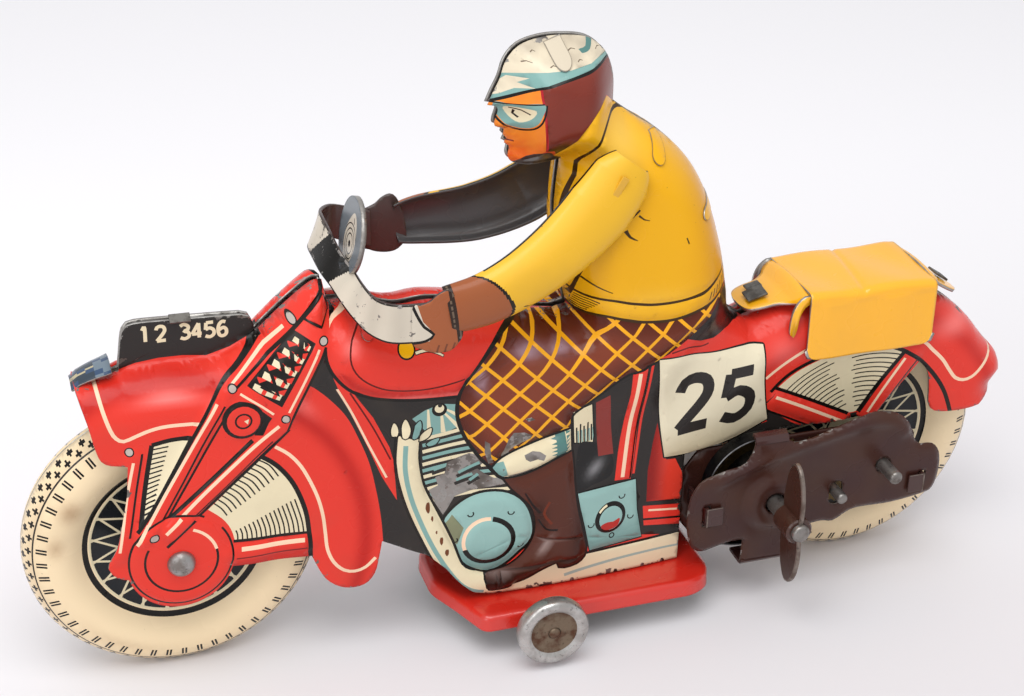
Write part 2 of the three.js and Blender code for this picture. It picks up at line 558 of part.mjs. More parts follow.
// A strip of sheet that stands upright along a line.
function uprightRibbon(line, tall, thick) {
  const path = new THREE.CatmullRomCurve3(line.map((p) => new THREE.Vector3(...p)));
  const steps = 24;
  const points = path.getSpacedPoints(steps);
  const inner = [];
  const outer = [];
  points.forEach((p, i) => {
    const a = points[Math.max(0, i - 1)];
    const b = points[Math.min(steps, i + 1)];
    const n = Math.hypot(b.x - a.x, b.y - a.y);
    const off = new THREE.Vector2(((b.y - a.y) / n) * thick / 2, (-(b.x - a.x) / n) * thick / 2);
    outer.push([p.x + off.x, p.y + off.y, p.z]);
    inner.push([p.x - off.x, p.y - off.y, p.z]);
  });
  const position = [];
  for (let i = 0; i <= steps; i += 1) {
    const section = [[outer[i], -1], [outer[i], 1], [inner[i], 1], [inner[i], -1]];
    for (const [p, way] of section) {
      position.push(p[0], p[1], p[2] + (way * tall) / 2);
    }
  }
  const index = [];
  for (let i = 0; i < steps; i += 1) {
    for (let k = 0; k < 4; k += 1) {
      const a = i * 4 + k;
      const b = i * 4 + ((k + 1) % 4);
      index.push(a, a + 4, b + 4, a, b + 4, b);
    }
  }
  const last = steps * 4;
  index.push(0, 1, 2, 0, 2, 3, last, last + 2, last + 1, last, last + 3, last + 2);
  return closedSkin(position, index);
}
const LAMP = { x: 33.8, z: 77.6, r: 6.7, lean: 0.2, thick: 1.2 };
const lampDisc = new THREE.CylinderGeometry(LAMP.r, LAMP.r, LAMP.thick, 24)
  .rotateZ(Math.PI / 2)
  .rotateY(LAMP.lean)
  .translate(LAMP.x, 0, LAMP.z);
const lampStem = new THREE.BoxGeometry(2.6, 5, 5).translate(LAMP.x - 2.2, 0, LAMP.z - LAMP.r);
addMesh('handlebar', join(uprightRibbon(BAR_LINE, 6.6, 0.7), lampDisc, lampStem), CREAM);

// ---------- arms: pressed shells from shoulder to wrist ----------
// Each ring is the arm's middle, its half height and how far it bulges outwards.
const LEFT_ARM = [
  [46.8, 17.3, 69.6, 4.4, 2.3], [52.4, 17.2, 70.9, 4.8, 3], [59.2, 16.6, 73.6, 5.2, 3.5], [66.3, 15.8, 78, 5.8, 3.8],
  [72.8, 14.8, 83.5, 6.4, 3.6], [77.2, 14, 88.6, 5.8, 3],
];
const RIGHT_ARM = [
  [46.6, 17.3, 71, 3.8, 2.3], [50.5, 17, 71.5, 4.8, 2.9], [60.5, 16, 72.2, 5.7, 3.4], [69.7, 15.3, 75.2, 6.2, 3.8],
  [78.8, 14.2, 81.6, 6, 3.2],
];
function armShell(side, rings) {
  const steps = 8;
  const position = [];
  rings.forEach(([x, y, z, half, bulge], i) => {
    const a = rings[Math.max(0, i - 1)];
    const b = rings[Math.min(rings.length - 1, i + 1)];
    const n = Math.hypot(b[0] - a[0], b[2] - a[2]);
    const up = [-(b[2] - a[2]) / n, (b[0] - a[0]) / n];
    for (const wall of [0, 0.7]) {
      for (let k = 0; k <= steps; k += 1) {
        const t = Math.PI * (wall ? 1 - k / steps : k / steps);
        const c = Math.cos(t) * (half - wall);
        const s = Math.sin(t) * (bulge - wall);
        position.push(x + up[0] * c, side * (y + s - 1), z + up[1] * c);
      }
    }
  });
  const ring = 2 * (steps + 1);
  const index = [];
  for (let i = 0; i + 1 < rings.length; i += 1) {
    for (let k = 0; k < ring; k += 1) {
      const a = i * ring + k;
      const b = i * ring + ((k + 1) % ring);
      index.push(a, b, b + ring, a, b + ring, a + ring);
    }
  }
  for (let k = 0; k < steps; k += 1) {
    const [p, q, r, s] = [k, k + 1, ring - 2 - k, ring - 1 - k];
    const end = (rings.length - 1) * ring;
    index.push(p, r, q, p, s, r, end + p, end + q, end + r, end + p, end + r, end + s);
  }
  return closedSkin(position, index);
}
addMesh('left_arm', armShell(-1, LEFT_ARM), YELLOW);
addMesh('right_arm', armShell(1, RIGHT_ARM), YELLOW);

// ---------- luggage carrier: a folded saddle over the rear mudguard ----------
const CARRIER = { z: 58.9, half: 8.8, x0: 117.5, x1: 143.5, drop: 45.6 };
const carrierSection = [
  [-CARRIER.half - 0.8, CARRIER.drop], [-CARRIER.half - 0.6, CARRIER.z - 1], [-CARRIER.half, CARRIER.z],
  [CARRIER.half, CARRIER.z], [CARRIER.half + 0.6, CARRIER.z - 1], [CARRIER.half + 0.8, CARRIER.drop],
  [CARRIER.half, CARRIER.drop], [CARRIER.half - 0.2, CARRIER.z - 1.2], [CARRIER.half - 0.6, CARRIER.z - TIN],
  [-CARRIER.half + 0.6, CARRIER.z - TIN], [-CARRIER.half + 0.2, CARRIER.z - 1.2], [-CARRIER.half, CARRIER.drop],
];
const saddleShape = new THREE.Shape(carrierSection.map(([y, z]) => new THREE.Vector2(y, z)));
const saddle = new THREE.ExtrudeGeometry(saddleShape, { depth: CARRIER.x1 - CARRIER.x0, bevelEnabled: false })
  .applyMatrix4(new THREE.Matrix4().makeBasis(
    new THREE.Vector3(0, 1, 0), new THREE.Vector3(0, 0, 1), new THREE.Vector3(1, 0, 0),
  ))
  .translate(CARRIER.x0, 0, 0);
function endEar(points) {
  const shape = new THREE.Shape(points.map(([x, z]) => new THREE.Vector2(x, z)));
  return new THREE.ExtrudeGeometry(shape, { depth: 10, bevelEnabled: false })
    .rotateX(Math.PI / 2)
    .translate(0, 5, 0);
}
const frontEar = endEar([[118, 58.9], [113, 58.4], [106.8, 55.4], [106.9, 54.6], [113.2, 57.5], [118, 58.1]]);
const rearEar = endEar([[143, 58.9], [147, 57.8], [152.6, 52.3], [152, 51.7], [146.6, 57], [143, 58.1]]);
addMesh('luggage_carrier', join(saddle, frontEar, rearEar), YELLOW);

// ---------- bench frame to part frame ----------
bench.updateMatrixWorld(true);
const box = new THREE.Box3().setFromObject(bench);
bench.position.set(-(box.min.x + box.max.x) / 2, -(box.min.y + box.max.y) / 2, -box.min.z);

export default group;
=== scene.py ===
# Tin wind-up motorcycle with rider: the looks of each pressed, printed and turned piece.
# Sizes are millimetres at the toy maker's bench: x = 0 on the front axle and growing towards the tail,
# y = 0 on the seam between the two pressed halves and negative on the machine's left, z = 0 on the
# ground.
import json
import math

import bmesh
import bpy
import numpy as np
from mathutils import Matrix, Vector
from mathutils.geometry import delaunay_2d_cdt


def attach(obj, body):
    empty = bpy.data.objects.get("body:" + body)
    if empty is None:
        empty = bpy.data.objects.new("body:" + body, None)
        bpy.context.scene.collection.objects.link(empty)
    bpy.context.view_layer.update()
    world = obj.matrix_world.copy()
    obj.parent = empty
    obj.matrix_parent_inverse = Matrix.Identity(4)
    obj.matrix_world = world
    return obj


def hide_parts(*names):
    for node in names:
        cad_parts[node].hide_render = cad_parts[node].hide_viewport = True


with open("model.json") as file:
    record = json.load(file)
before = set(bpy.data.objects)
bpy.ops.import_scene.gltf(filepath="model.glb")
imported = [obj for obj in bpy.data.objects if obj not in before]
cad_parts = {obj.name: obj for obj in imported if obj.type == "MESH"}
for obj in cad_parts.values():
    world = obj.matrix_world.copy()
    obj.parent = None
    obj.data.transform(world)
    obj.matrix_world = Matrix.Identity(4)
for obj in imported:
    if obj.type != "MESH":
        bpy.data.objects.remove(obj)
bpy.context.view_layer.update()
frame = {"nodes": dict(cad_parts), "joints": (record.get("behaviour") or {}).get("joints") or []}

# ------------------------------
# The body: two halves of lithographed tin plate, pressed in relief and folded together along the
# seam by small tabs. The print is laid on the flat sheet first, so its lines follow the pressing.
AXLE_Z = 24.0
SPIN = next(j for j in frame["joints"] if j["name"] == "front_wheel_spin")["pos_m"]
SEAM_Y = 1.4
SHIFT = (SPIN[0] * 1000, SEAM_Y, SPIN[2] * 1000 - AXLE_Z)


def at(x, y, z):
    """A bench point in millimetres as a point of the scene in metres."""
    return ((x + SHIFT[0]) / 1000, (y + SHIFT[1]) / 1000, (z + SHIFT[2]) / 1000)


def paint(code):
    """A paint maker's RRGGBB colour as linear light."""
    parts = [int(code[i:i + 2], 16) / 255 for i in (0, 2, 4)]
    return tuple(c / 12.92 if c <= 0.04045 else ((c + 0.055) / 1.055) ** 2.4 for c in parts)


def curve(points, step=1.0, closed=False):
    """A smooth line through the points, as points about one step apart."""
    p = np.array(points, float)
    n = len(p)
    if n < 3 and not closed:
        count = max(1, int(np.linalg.norm(p[1] - p[0]) / step))
        return [tuple(p[0] + (p[1] - p[0]) * i / count) for i in range(count + 1)]
    out = []
    for i in range(n if closed else n - 1):
        a, b, c, d = (p[(i + k) % n] if closed else p[min(max(i + k, 0), n - 1)] for k in (-1, 0, 1, 2))
        count = max(1, int(np.linalg.norm(c - b) / step + 0.5))
        for s in range(count):
            t = s / count
            out.append(tuple(0.5 * (2 * b + (c - a) * t + (2 * a - 5 * b + 4 * c - d) * t * t
                                    + (3 * b - a - 3 * c + d) * t ** 3)))
    if not closed:
        out.append(tuple(p[-1]))
    return out


def ring_points(x, z, r, start=0, end=360, step=0.9):
    """Points on an arc, from one angle in degrees to the other."""
    count = max(6, int(abs(math.radians(end - start)) * r / step) + 1)
    full = abs(end - start) >= 360
    angles = [math.radians(start + (end - start) * i / count) for i in range(count + (not full))]
    return [(x + r * math.cos(a), z + r * math.sin(a)) for a in angles]


def band(line, width, end_width=None):
    """The outline of a brush stroke along a line."""
    p = np.array(line, float)
    along = np.gradient(p, axis=0)
    along /= np.maximum(np.linalg.norm(along, axis=1, keepdims=True), 1e-9)
    side = np.stack([-along[:, 1], along[:, 0]], 1)
    half = np.linspace(width, width if end_width is None else end_width, len(p))[:, None] / 2
    return [tuple(q) for q in np.concatenate([p + side * half, (p - side * half)[::-1]])]


def hoop(x, z, r, width, step=0.9):
    """A closed printed ring, as an outline that runs out round the rim and back round the inside."""
    outer = ring_points(x, z, r + width / 2, step=step)
    inner = ring_points(x, z, r - width / 2, step=step)
    return outer + [outer[0], inner[0]] + inner[::-1]


def inside(outline, px, pz):
    """Which of the points lie inside an outline."""
    o = np.array(outline, float)
    hit = np.zeros(len(px), int)
    near = np.where((px >= o[:, 0].min()) & (px <= o[:, 0].max()) & (pz >= o[:, 1].min()) & (pz <= o[:,
            1].max()))[0]
    qx, qz = px[near], pz[near]
    turns = np.zeros(len(near), int)
    for (ax, az), (bx, bz) in zip(o, np.roll(o, -1, 0)):
        left = (bx - ax) * (qz - az) - (qx - ax) * (bz - az)
        turns += ((az <= qz) & (bz > qz) & (left > 0)).astype(int)
        turns -= ((az > qz) & (bz <= qz) & (left < 0)).astype(int)
    hit[near] = turns
    return hit != 0


def distance(line, px, pz, closed=False):
    """How far each point is from a line."""
    o = np.array(line, float)
    ends = np.roll(o, -1, 0) if closed else o[1:]
    best = np.full(len(px), 1e9)
    for (ax, az), (bx, bz) in zip(o, ends):
        dx, dz = bx - ax, bz - az
        t = np.clip(((px - ax) * dx + (pz - az) * dz) / (dx * dx + dz * dz + 1e-12), 0, 1)
        best = np.minimum(best, np.hypot(px - ax - t * dx, pz - az - t * dz))
    return best


def ease(t):
    t = np.clip(t, 0, 1)
    return t * t * (3 - 2 * t)


def print_sheet(name, outline, holes, inks, height, side, grid=1.0, extra=(), wear=None):
    """A pressed sheet: inks are (outline, colour, wear, clip) in printing order, height lifts it off the
    seam plane."""
    loops = [list(outline)] + [list(h) for h in holes] + [list(i[0]) for i in inks]
    edge = np.array(outline, float)
    xs = np.arange(edge[:, 0].min() + grid / 2, edge[:, 0].max(), grid)
    zs = np.arange(edge[:, 1].min() + grid / 2, edge[:, 1].max(), grid * 0.87)
    gx, gz = np.meshgrid(xs, zs)
    gx = gx + grid / 2 * (np.arange(len(zs)) % 2)[:, None]
    gx, gz = gx.ravel(), gz.ravel()
    if len(extra):
        more = np.array(extra, float)
        gx, gz = np.concatenate([gx, more[:, 0]]), np.concatenate([gz, more[:, 1]])
    keep = inside(outline, gx, gz) & (distance(outline, gx, gz, True) > 0.08)
    verts = [(float(x), float(z)) for x, z in zip(gx[keep], gz[keep])]
    edges = []
    for loop in loops:
        first = len(verts)
        verts += [(float(x), float(z)) for x, z in loop]
        edges += [(first + k, first + (k + 1) % len(loop)) for k in range(len(loop))]
    co, _, tris, *_ = delaunay_2d_cdt([Vector(v) for v in verts], edges, [], 0, 1e-4, False)
    co = np.array([tuple(v) for v in co], float)
    tris = np.array(tris, int)
    mid = co[tris].mean(1)
    inner = inside(outline, mid[:, 0], mid[:, 1])
    for h in holes:
        inner &= ~inside(h, mid[:, 0], mid[:, 1])
    tris, mid = tris[inner], mid[inner]
    colour = np.zeros((len(tris), 3, 4))
    for shape, tone, rub, clip in inks:
        here = inside(shape, mid[:, 0], mid[:, 1])
        if clip is not None:
            here &= inside(clip, mid[:, 0], mid[:, 1])
        if not here.any():
            continue
        corners = co[tris[here]]
        if callable(tone):
            flat = corners.reshape(-1, 2)
            colour[here, :, :3] = tone(flat[:, 0], flat[:, 1]).reshape(-1, 3, 3)
        else:
            colour[here, :, :3] = tone
        colour[here, :, 3] = rub
    if wear is not None:
        flat = co[tris].reshape(-1, 2)
        colour[:, :, 3] = np.clip(colour[:, :, 3] + wear(flat[:, 0], flat[:, 1]).reshape(-1, 3), 0, 1)
    used, tris = np.unique(tris, return_inverse=True)
    tris = tris.reshape(-1, 3)
    co = co[used]
    y = side * height(co[:, 0], co[:, 1])
    a, b, c = (co[tris[:, k]] for k in range(3))
    turn = (b[:, 0] - a[:, 0]) * (c[:, 1] - a[:, 1]) - (b[:, 1] - a[:, 1]) * (c[:, 0] - a[:, 0])
    flip = (turn * side) > 0
    tris[flip] = tris[flip][:, ::-1]
    colour[flip] = colour[flip][:, ::-1]
    mesh = bpy.data.meshes.new(name)
    mesh.from_pydata([at(x, h, z) for (x, z), h in zip(co, y)], [], tris.tolist())
    ink = mesh.color_attributes.new("ink", "FLOAT_COLOR", "CORNER")
    ink.data.foreach_set("color", colour.astype(np.float32).ravel())
    mesh.shade_smooth()
    piece = bpy.data.objects.new(name, mesh)
    bpy.context.scene.collection.objects.link(piece)
    return piece


def thicken(piece, thick, inner_material=1):
    """Gives the sheet its metal thickness behind the printed face."""
    solid = piece.modifiers.new("sheet thickness", "SOLIDIFY")
    solid.thickness = thick / 1000
    solid.offset = -1
    solid.material_offset = inner_material
    solid.material_offset_rim = inner_material
    return solid


# The varnished print: the inks, small chips down to grey tin, specks and fine rubbing marks.
def noise(tree, scale, detail=2.0, rough=0.5, stretch=None, seed=0.0):
    """Noise on the piece's own coordinates, in metres; stretch draws it out into streaks."""
    where = tree.nodes.new("ShaderNodeTexCoord")
    move = tree.nodes.new("ShaderNodeMapping")
    move.inputs["Scale"].default_value = stretch or (1, 1, 1)
    move.inputs["Location"].default_value = (seed, seed * 0.7, seed * 0.3)
    tree.links.new(where.outputs["Object"], move.inputs["Vector"])
    made = tree.nodes.new("ShaderNodeTexNoise")
    made.inputs["Scale"].default_value = scale
    made.inputs["Detail"].default_value = detail
    made.inputs["Roughness"].default_value = rough
    tree.links.new(move.outputs["Vector"], made.inputs["Vector"])
    return made.outputs["Fac"]


def steps(tree, value, low, high, to_low=0.0, to_high=1.0):
    """A value spread smoothly from one range to another."""
    node = tree.nodes.new("ShaderNodeMapRange")
    node.interpolation_type = "SMOOTHSTEP"
    for socket, v in ((1, low), (2, high), (3, to_low), (4, to_high)):
        if hasattr(v, "is_output"):
            tree.links.new(v, node.inputs[socket])
        else:
            node.inputs[socket].default_value = v
    tree.links.new(value, node.inputs[0])
    return node.outputs[0]


def maths(tree, kind, a, b=0.0):
    node = tree.nodes.new("ShaderNodeMath")
    node.operation = kind
    for socket, v in ((0, a), (1, b)):
        if hasattr(v, "is_output"):
            tree.links.new(v, node.inputs[socket])
        else:
            node.inputs[socket].default_value = v
    return node.outputs[0]


def mixed(tree, a, b, amount):
    """Colour a under colour b."""
    node = tree.nodes.new("ShaderNodeMix")
    node.data_type = "RGBA"
    for socket, v in ((0, amount), (6, a), (7, b)):
        if hasattr(v, "is_output"):
            tree.links.new(v, node.inputs[socket])
        elif isinstance(v, tuple):
            node.inputs[socket].default_value = (*v, 1)
        else:
            node.inputs[socket].default_value = v
    return node.outputs[2]


def effect(name, takes, gives):
    """A shader group with named sockets, and its input and output nodes."""
    tree = bpy.data.node_groups.new(name, "ShaderNodeTree")
    for label, kind in takes:
        tree.interface.new_socket(label, in_out="INPUT", socket_type=kind)
    for label, kind in gives:
        tree.interface.new_socket(label, in_out="OUTPUT", socket_type=kind)
    return tree, tree.nodes.new("NodeGroupInput"), tree.nodes.new("NodeGroupOutput")


VALUE, TONE = "NodeSocketFloat", "NodeSocketColor"
worn_print, source, result = effect("worn print", [("Ink", TONE), ("Wear", VALUE)],
        [("Color", TONE), ("Roughness", VALUE), ("Metallic", VALUE), ("Height", VALUE)])
wear = source.outputs["Wear"]
chips = noise(worn_print, 620, 4, 0.62)
patches = noise(worn_print, 150, 3, 0.6, seed=3.1)
specks = noise(worn_print, 2300, 1, 0.5, seed=1.7)
streaks = noise(worn_print, 500, 2, 0.6, (1, 1, 9), 5.3)
cloud = noise(worn_print, 60, 3, 0.55, seed=2.2)
mixed_noise = maths(worn_print, "ADD", maths(worn_print, "MULTIPLY", chips, 0.72),
        maths(worn_print, "MULTIPLY", patches, 0.28))
limit = maths(worn_print, "SUBTRACT", 0.795, maths(worn_print, "MULTIPLY", wear, 0.315))
bare = steps(worn_print, mixed_noise, limit, maths(worn_print, "ADD", limit, 0.012))
dots = steps(worn_print, specks, 0.80, 0.83)
rubbed = steps(worn_print, streaks, 0.70, 0.80)
aged = mixed(worn_print, source.outputs["Ink"], paint("3d2716"), maths(worn_print, "MULTIPLY", dots,
        0.55))
aged = mixed(worn_print, aged, paint("6d5c48"), maths(worn_print, "MULTIPLY",
        steps(worn_print, cloud, 0.52, 0.75), 0.10))
aged = mixed(worn_print, aged, paint("cfc4b4"), maths(worn_print, "MULTIPLY", rubbed, 0.05))
tin_tone = mixed(worn_print, paint("9c9894"), paint("5c544e"), steps(worn_print, patches, 0.35, 0.7))
rust = steps(worn_print, noise(worn_print, 800, 3, 0.6, seed=8.8), 0.60, 0.66)
tin_tone = mixed(worn_print, tin_tone, paint("5b3520"), maths(worn_print, "MULTIPLY", rust, 0.5))
shown = mixed(worn_print, aged, tin_tone, bare)
gloss = maths(worn_print, "ADD", steps(worn_print, cloud, 0.3, 0.7, 0.22, 0.32),
        maths(worn_print, "MULTIPLY", rubbed, 0.10))
gloss = maths(worn_print, "ADD", gloss, maths(worn_print, "MULTIPLY", bare, 0.18))
for label, out in (("Color", shown), ("Roughness", gloss), ("Metallic",
        maths(worn_print, "MULTIPLY", bare, 0.55)), ("Height", maths(worn_print, "SUBTRACT",
        maths(worn_print, "MULTIPLY", cloud, 0.5), maths(worn_print, "MULTIPLY", bare, 0.35)))):
    worn_print.links.new(out, result.inputs[label])


def surface(name):
    """A new material: its node tree and its Principled node."""
    made = bpy.data.materials.new(name)
    made.use_nodes = True
    return made, made.node_tree, made.node_tree.nodes["Principled BSDF"]


def with_bump(tree, shader, height, strength, depth):
    bump = tree.nodes.new("ShaderNodeBump")
    bump.inputs["Strength"].default_value = strength
    bump.inputs["Distance"].default_value = depth
    tree.links.new(height, bump.inputs["Height"])
    tree.links.new(bump.outputs["Normal"], shader.inputs["Normal"])


def use_effect(tree, shader, group, feeds=(), depth=0.00012):
    """Feeds a group's outputs into the shader's sockets of the same meaning."""
    node = tree.nodes.new("ShaderNodeGroup")
    node.node_tree = group
    for label, v in feeds:
        if hasattr(v, "is_output"):
            tree.links.new(v, node.inputs[label])
        elif isinstance(v, tuple):
            node.inputs[label].default_value = (*v, 1)
        else:
            node.inputs[label].default_value = v
    for label, socket in (("Color", "Base Color"), ("Roughness", "Roughness"), ("Metallic", "Metallic")):
        tree.links.new(node.outputs[label], shader.inputs[socket])
    with_bump(tree, shader, node.outputs["Height"], 0.35, depth)
    return node


litho, litho_tree, litho_shader = surface("printed tin")
ink_node = litho_tree.nodes.new("ShaderNodeAttribute")
ink_node.attribute_name = "ink"
use_effect(litho_tree, litho_shader, worn_print, (("Ink", ink_node.outputs["Color"]),
        ("Wear", ink_node.outputs["Alpha"])))
litho_shader.inputs["Coat Weight"].default_value = 0.10
litho_shader.inputs["Coat Roughness"].default_value = 0.12
litho_shader.inputs["Specular IOR Level"].default_value = 0.23

bare_metal, source, result = effect("handled metal", [("Metal", TONE), ("Stain", TONE),
        ("Stain Amount", VALUE), ("Polish", VALUE)], [("Color", TONE), ("Roughness", VALUE),
        ("Metallic", VALUE), ("Height", VALUE)])
blotch = noise(bare_metal, 260, 4, 0.6)
pits = noise(bare_metal, 1500, 2, 0.6, seed=4.4)
brushed = noise(bare_metal, 900, 2, 0.6, (1, 1, 7), 2.9)
stained = maths(bare_metal, "MULTIPLY", steps(bare_metal, blotch, 0.42, 0.62),
        source.outputs["Stain Amount"])
metal_tone = mixed(bare_metal, source.outputs["Metal"], source.outputs["Stain"], stained)
metal_tone = mixed(bare_metal, metal_tone, paint("241f1c"), maths(bare_metal, "MULTIPLY",
        steps(bare_metal, pits, 0.62, 0.72), 0.45))
dull = maths(bare_metal, "ADD", source.outputs["Polish"], maths(bare_metal, "MULTIPLY", stained, 0.25))
dull = maths(bare_metal, "ADD", dull, steps(bare_metal, brushed, 0.3, 0.8, -0.05, 0.1))
for label, out in (("Color", metal_tone), ("Roughness", dull), ("Metallic", maths(bare_metal, "SUBTRACT",
        0.92, maths(bare_metal, "MULTIPLY", stained, 0.5))), ("Height", maths(bare_metal, "SUBTRACT",
        maths(bare_metal, "MULTIPLY", brushed, 0.2), maths(bare_metal, "MULTIPLY", pits, 0.6)))):
    bare_metal.links.new(out, result.inputs[label])


def metal(name, tone, stain, amount, polish):
    made, tree, shader = surface(name)
    use_effect(tree, shader, bare_metal, (("Metal", paint(tone)), ("Stain", paint(stain)),
            ("Stain Amount", amount), ("Polish", polish)))
    return made


bare_tin = metal("bare tin", "b4b1ac", "6d6660", 0.6, 0.36)

RED, DEEP_RED, HIGHLIGHT_RED = paint("e2382b"), paint("b8170f"), paint("f9807a")
CREAM, PIN = paint("e6d9b6"), paint("f6d2b2")
BLACK, SOOT = paint("14120f"), paint("2b2725")
TEAL, DARK_TEAL = paint("7fa8a2"), paint("55807b")
YELLOW, ORANGE_YELLOW, PALE_YELLOW = paint("ecae0e"), paint("cc8410"), paint("f3c24a")
DARK_LINE = paint("3b2608")
TIN = paint("8f8985")

PLATE_EDGE = curve([(-6.8, 58.5), (-6.3, 62), (-5.9, 64.4), (-5.2, 65.8), (-3.6, 66.5), (3, 66.3),
        (14.2, 65.7), (15.6, 65.2), (16.2, 64), (16.5, 62.3)])
SEAM_FRONT = curve([(-14.5, 57.5), (-12, 57.3), (-9, 57.6), (-6.8, 58.4)])
SEAM_UNDER_PLATE = curve([(-6.8, 58.4), (0, 58.8), (8, 58.7), (12, 60), (16.5, 62.3)])
FORK_TOP = curve([(16.5, 62.3), (20.5, 66), (25, 69.6), (27, 70.7), (28.3, 70.6)]) + [(29, 66.6)]
TANK_TOP = curve([(29, 66.6), (32, 66.4), (35, 66), (41, 64), (47, 64.2), (54, 63), (62, 61), (70, 59.5)])
RIDER_FRONT = curve([(72.5, 60), (71, 68), (69.8, 78), (70.5, 88)])
CHIN = curve([(70.5, 88), (66, 87.6), (63.4, 87.8), (61.8, 88.4), (61.2, 89.6), (61.4, 91.2),
        (60.5, 91.9), (60.9, 92.7), (60.3, 93.4), (60.4, 94.4), (58.9, 95), (58.8, 96), (59.3, 98.2),
        (57.5, 98.9)], 0.5)
HELMET = curve([(57.5, 98.9), (58.4, 101), (59.6, 103.4), (60.6, 106.4), (62.8, 108.8), (66.4, 109.9),
        (70.5, 110), (75, 109.2), (78.2, 106.6), (79.8, 102.4), (80, 97.5)])
BACK = curve([(80, 97.5), (83, 95.2), (89, 91), (94, 86), (97.6, 79.5), (100.6, 70), (102.3, 62),
        (104, 55.5), (107.5, 52.6)])
TAIL_TOP = (curve([(107.5, 52.6), (114, 55), (121, 56.8), (129, 57.3), (137, 56.4), (144, 54), (150, 51),
            (155, 46.8), (159.5, 41.5), (163, 37.6), (164, 34.5)]) + [(162, 31.5)])
SEAM = SEAM_FRONT + SEAM_UNDER_PLATE + FORK_TOP + TANK_TOP + RIDER_FRONT + CHIN + HELMET + BACK + TAIL_TOP
TOP_EDGE = SEAM_FRONT + PLATE_EDGE + FORK_TOP + TANK_TOP + RIDER_FRONT + CHIN + HELMET + BACK + TAIL_TOP
TAIL_EDGE = (curve([(162, 31.5), (157.5, 29)]) + curve([(157.5, 29), (152, 28.7), (147.6, 29.2),
             (146.1, 31), (145.6, 34.5), (144.8, 38.4), (142.6, 41)])
             + curve([(142.6, 41), (135.5, 30.5)]))
SILL_EDGE = curve([(58, 7.3), (53.5, 8), (50, 11), (46.5, 15.5), (43.5, 18)])
FRONT_EDGE = (curve([(43.5, 18), (36, 21)]) + curve([(36, 21), (35.4, 17.5), (34.6, 14.2), (32.6, 12),
        (29, 12), (25.6, 14.6), (23.2, 20)]) + curve([(23.2, 20), (9, 21.3)])
        + ring_points(0, AXLE_Z, 9.3, -17, -167) + curve([(-9.1, 21.9), (-11, 22.7), (-12.3, 24.8),
        (-11.6, 27), (-10.5, 29), (-9.2, 33.5), (-8, 38), (-7.4, 43.5)])
        + curve([(-7.4, 43.5), (-10, 43.8), (-11.6, 44.9), (-12.4, 47.5), (-13.1, 51.5), (-14.5, 57.5)]))
LEFT_EDGE = (TAIL_EDGE + curve([(135.5, 30.5), (128, 29.6), (94, 29.6)])
             + curve([(94, 29.6), (93.4, 7.3)]) + [(76, 7.3)])
RIGHT_EDGE = (TAIL_EDGE + ring_points(132.9, AXLE_Z, 9.3, 62, -165) + curve([(122, 20.5), (112, 14)])
              + curve([(112, 14), (97.5, 7.3)]) + [(76, 7.3)])

# Depth of the pressing at a few stations: x, z and how far the tin stands off the seam plane there.
STATIONS = np.array([(-12, 48, 6.4), (0, 50, 7.2), (12, 50, 7.4), (22, 44, 7.6), (29, 30, 7.8),
        (30, 16, 7.8), (0, 24, 8.8), (8, 38, 8.6), (20, 58, 8.6), (38, 56, 9.6), (50, 55, 10.4),
        (46, 36, 9.8), (48, 18, 10.6), (56, 10, 11), (70, 9, 11), (84, 9, 11), (94, 10, 9.6),
        (60, 42, 12.2), (68, 30, 12.6), (68, 16, 12.2), (70, 52, 12.4), (82, 52, 12.2), (84, 66, 12),
        (84, 80, 12), (92, 84, 10), (92, 70, 11.4), (70, 100, 8.6), (66, 94, 8.4), (80, 34, 10),
        (88, 24, 10), (98, 42, 9), (98, 22, 8.4), (112, 36, 5.6), (130, 36, 5.2), (120, 33, 5.2),
        (106, 30, 6.4), (104, 44, 8.6), (118, 30, 5.2), (120, 48, 8), (135, 48, 8), (150, 42, 7.6),
        (158, 34, 7.2), (141, 36, 6.6), (70, 88, 7.8)])
STATION_SPREAD, ROLL, FACE = 6.0, 8.0, 0.95
UNDER_SEAM = SEAM + [(162, -50), (-24, -50), (-24, 57.5)]

# Raised and sunk details of the die: (line, half width, height) ridges and (outline, height, shoulder)
# fields.
FORK_FRONT = [(17, 62.6), (10.2, 56.2), (7.3, 51.6), (3, 44.6), (-2, 36.6), (-6, 30)]
FORK_REAR = [(19, 47.8), (12, 42.3), (5, 36.4), (-1.6, 30.4)]
FORK_HEAD = [(27.3, 70.2), (22, 65.3), (16.5, 60.6), (11, 55.8)]
FORK_BACK = [(27, 64), (24, 57), (20.4, 49.6)]
PIPE = curve([(40.6, 43), (40.4, 37), (41.4, 31), (43.6, 25), (46.4, 18.6), (49.4, 13.2), (53, 10.4),
        (58, 9.8)])
TRUNK = curve([(62, 61), (57.5, 59.7), (54, 57), (51.6, 53.8), (50, 51), (49.3, 48), (49.5, 45),
        (50.7, 41.6), (52.4, 38.6), (53.9, 36.4), (55.4, 34.9)])
CUFF_TOP = curve([(55.4, 34.9), (57, 36.9), (60, 38.5), (65, 40.1), (70.2, 41.1)])
SEAT_LINE = curve([(70.2, 44.2), (73, 45.5), (76, 47.7), (80, 50.1), (85, 51.7), (88.5, 53.4),
        (92, 55.6), (95, 58.2), (97.4, 61), (98.9, 63.6)])
HEM = curve([(72.6, 61), (76, 61.8), (79.5, 61.3), (83, 60.4), (88, 60), (92, 60.6), (96, 62.1),
        (98.9, 63.6)])
TROUSERS = TRUNK + CUFF_TOP + SEAT_LINE + HEM[::-1] + [(72.5, 60), (70, 59.5), (66, 60.2)]
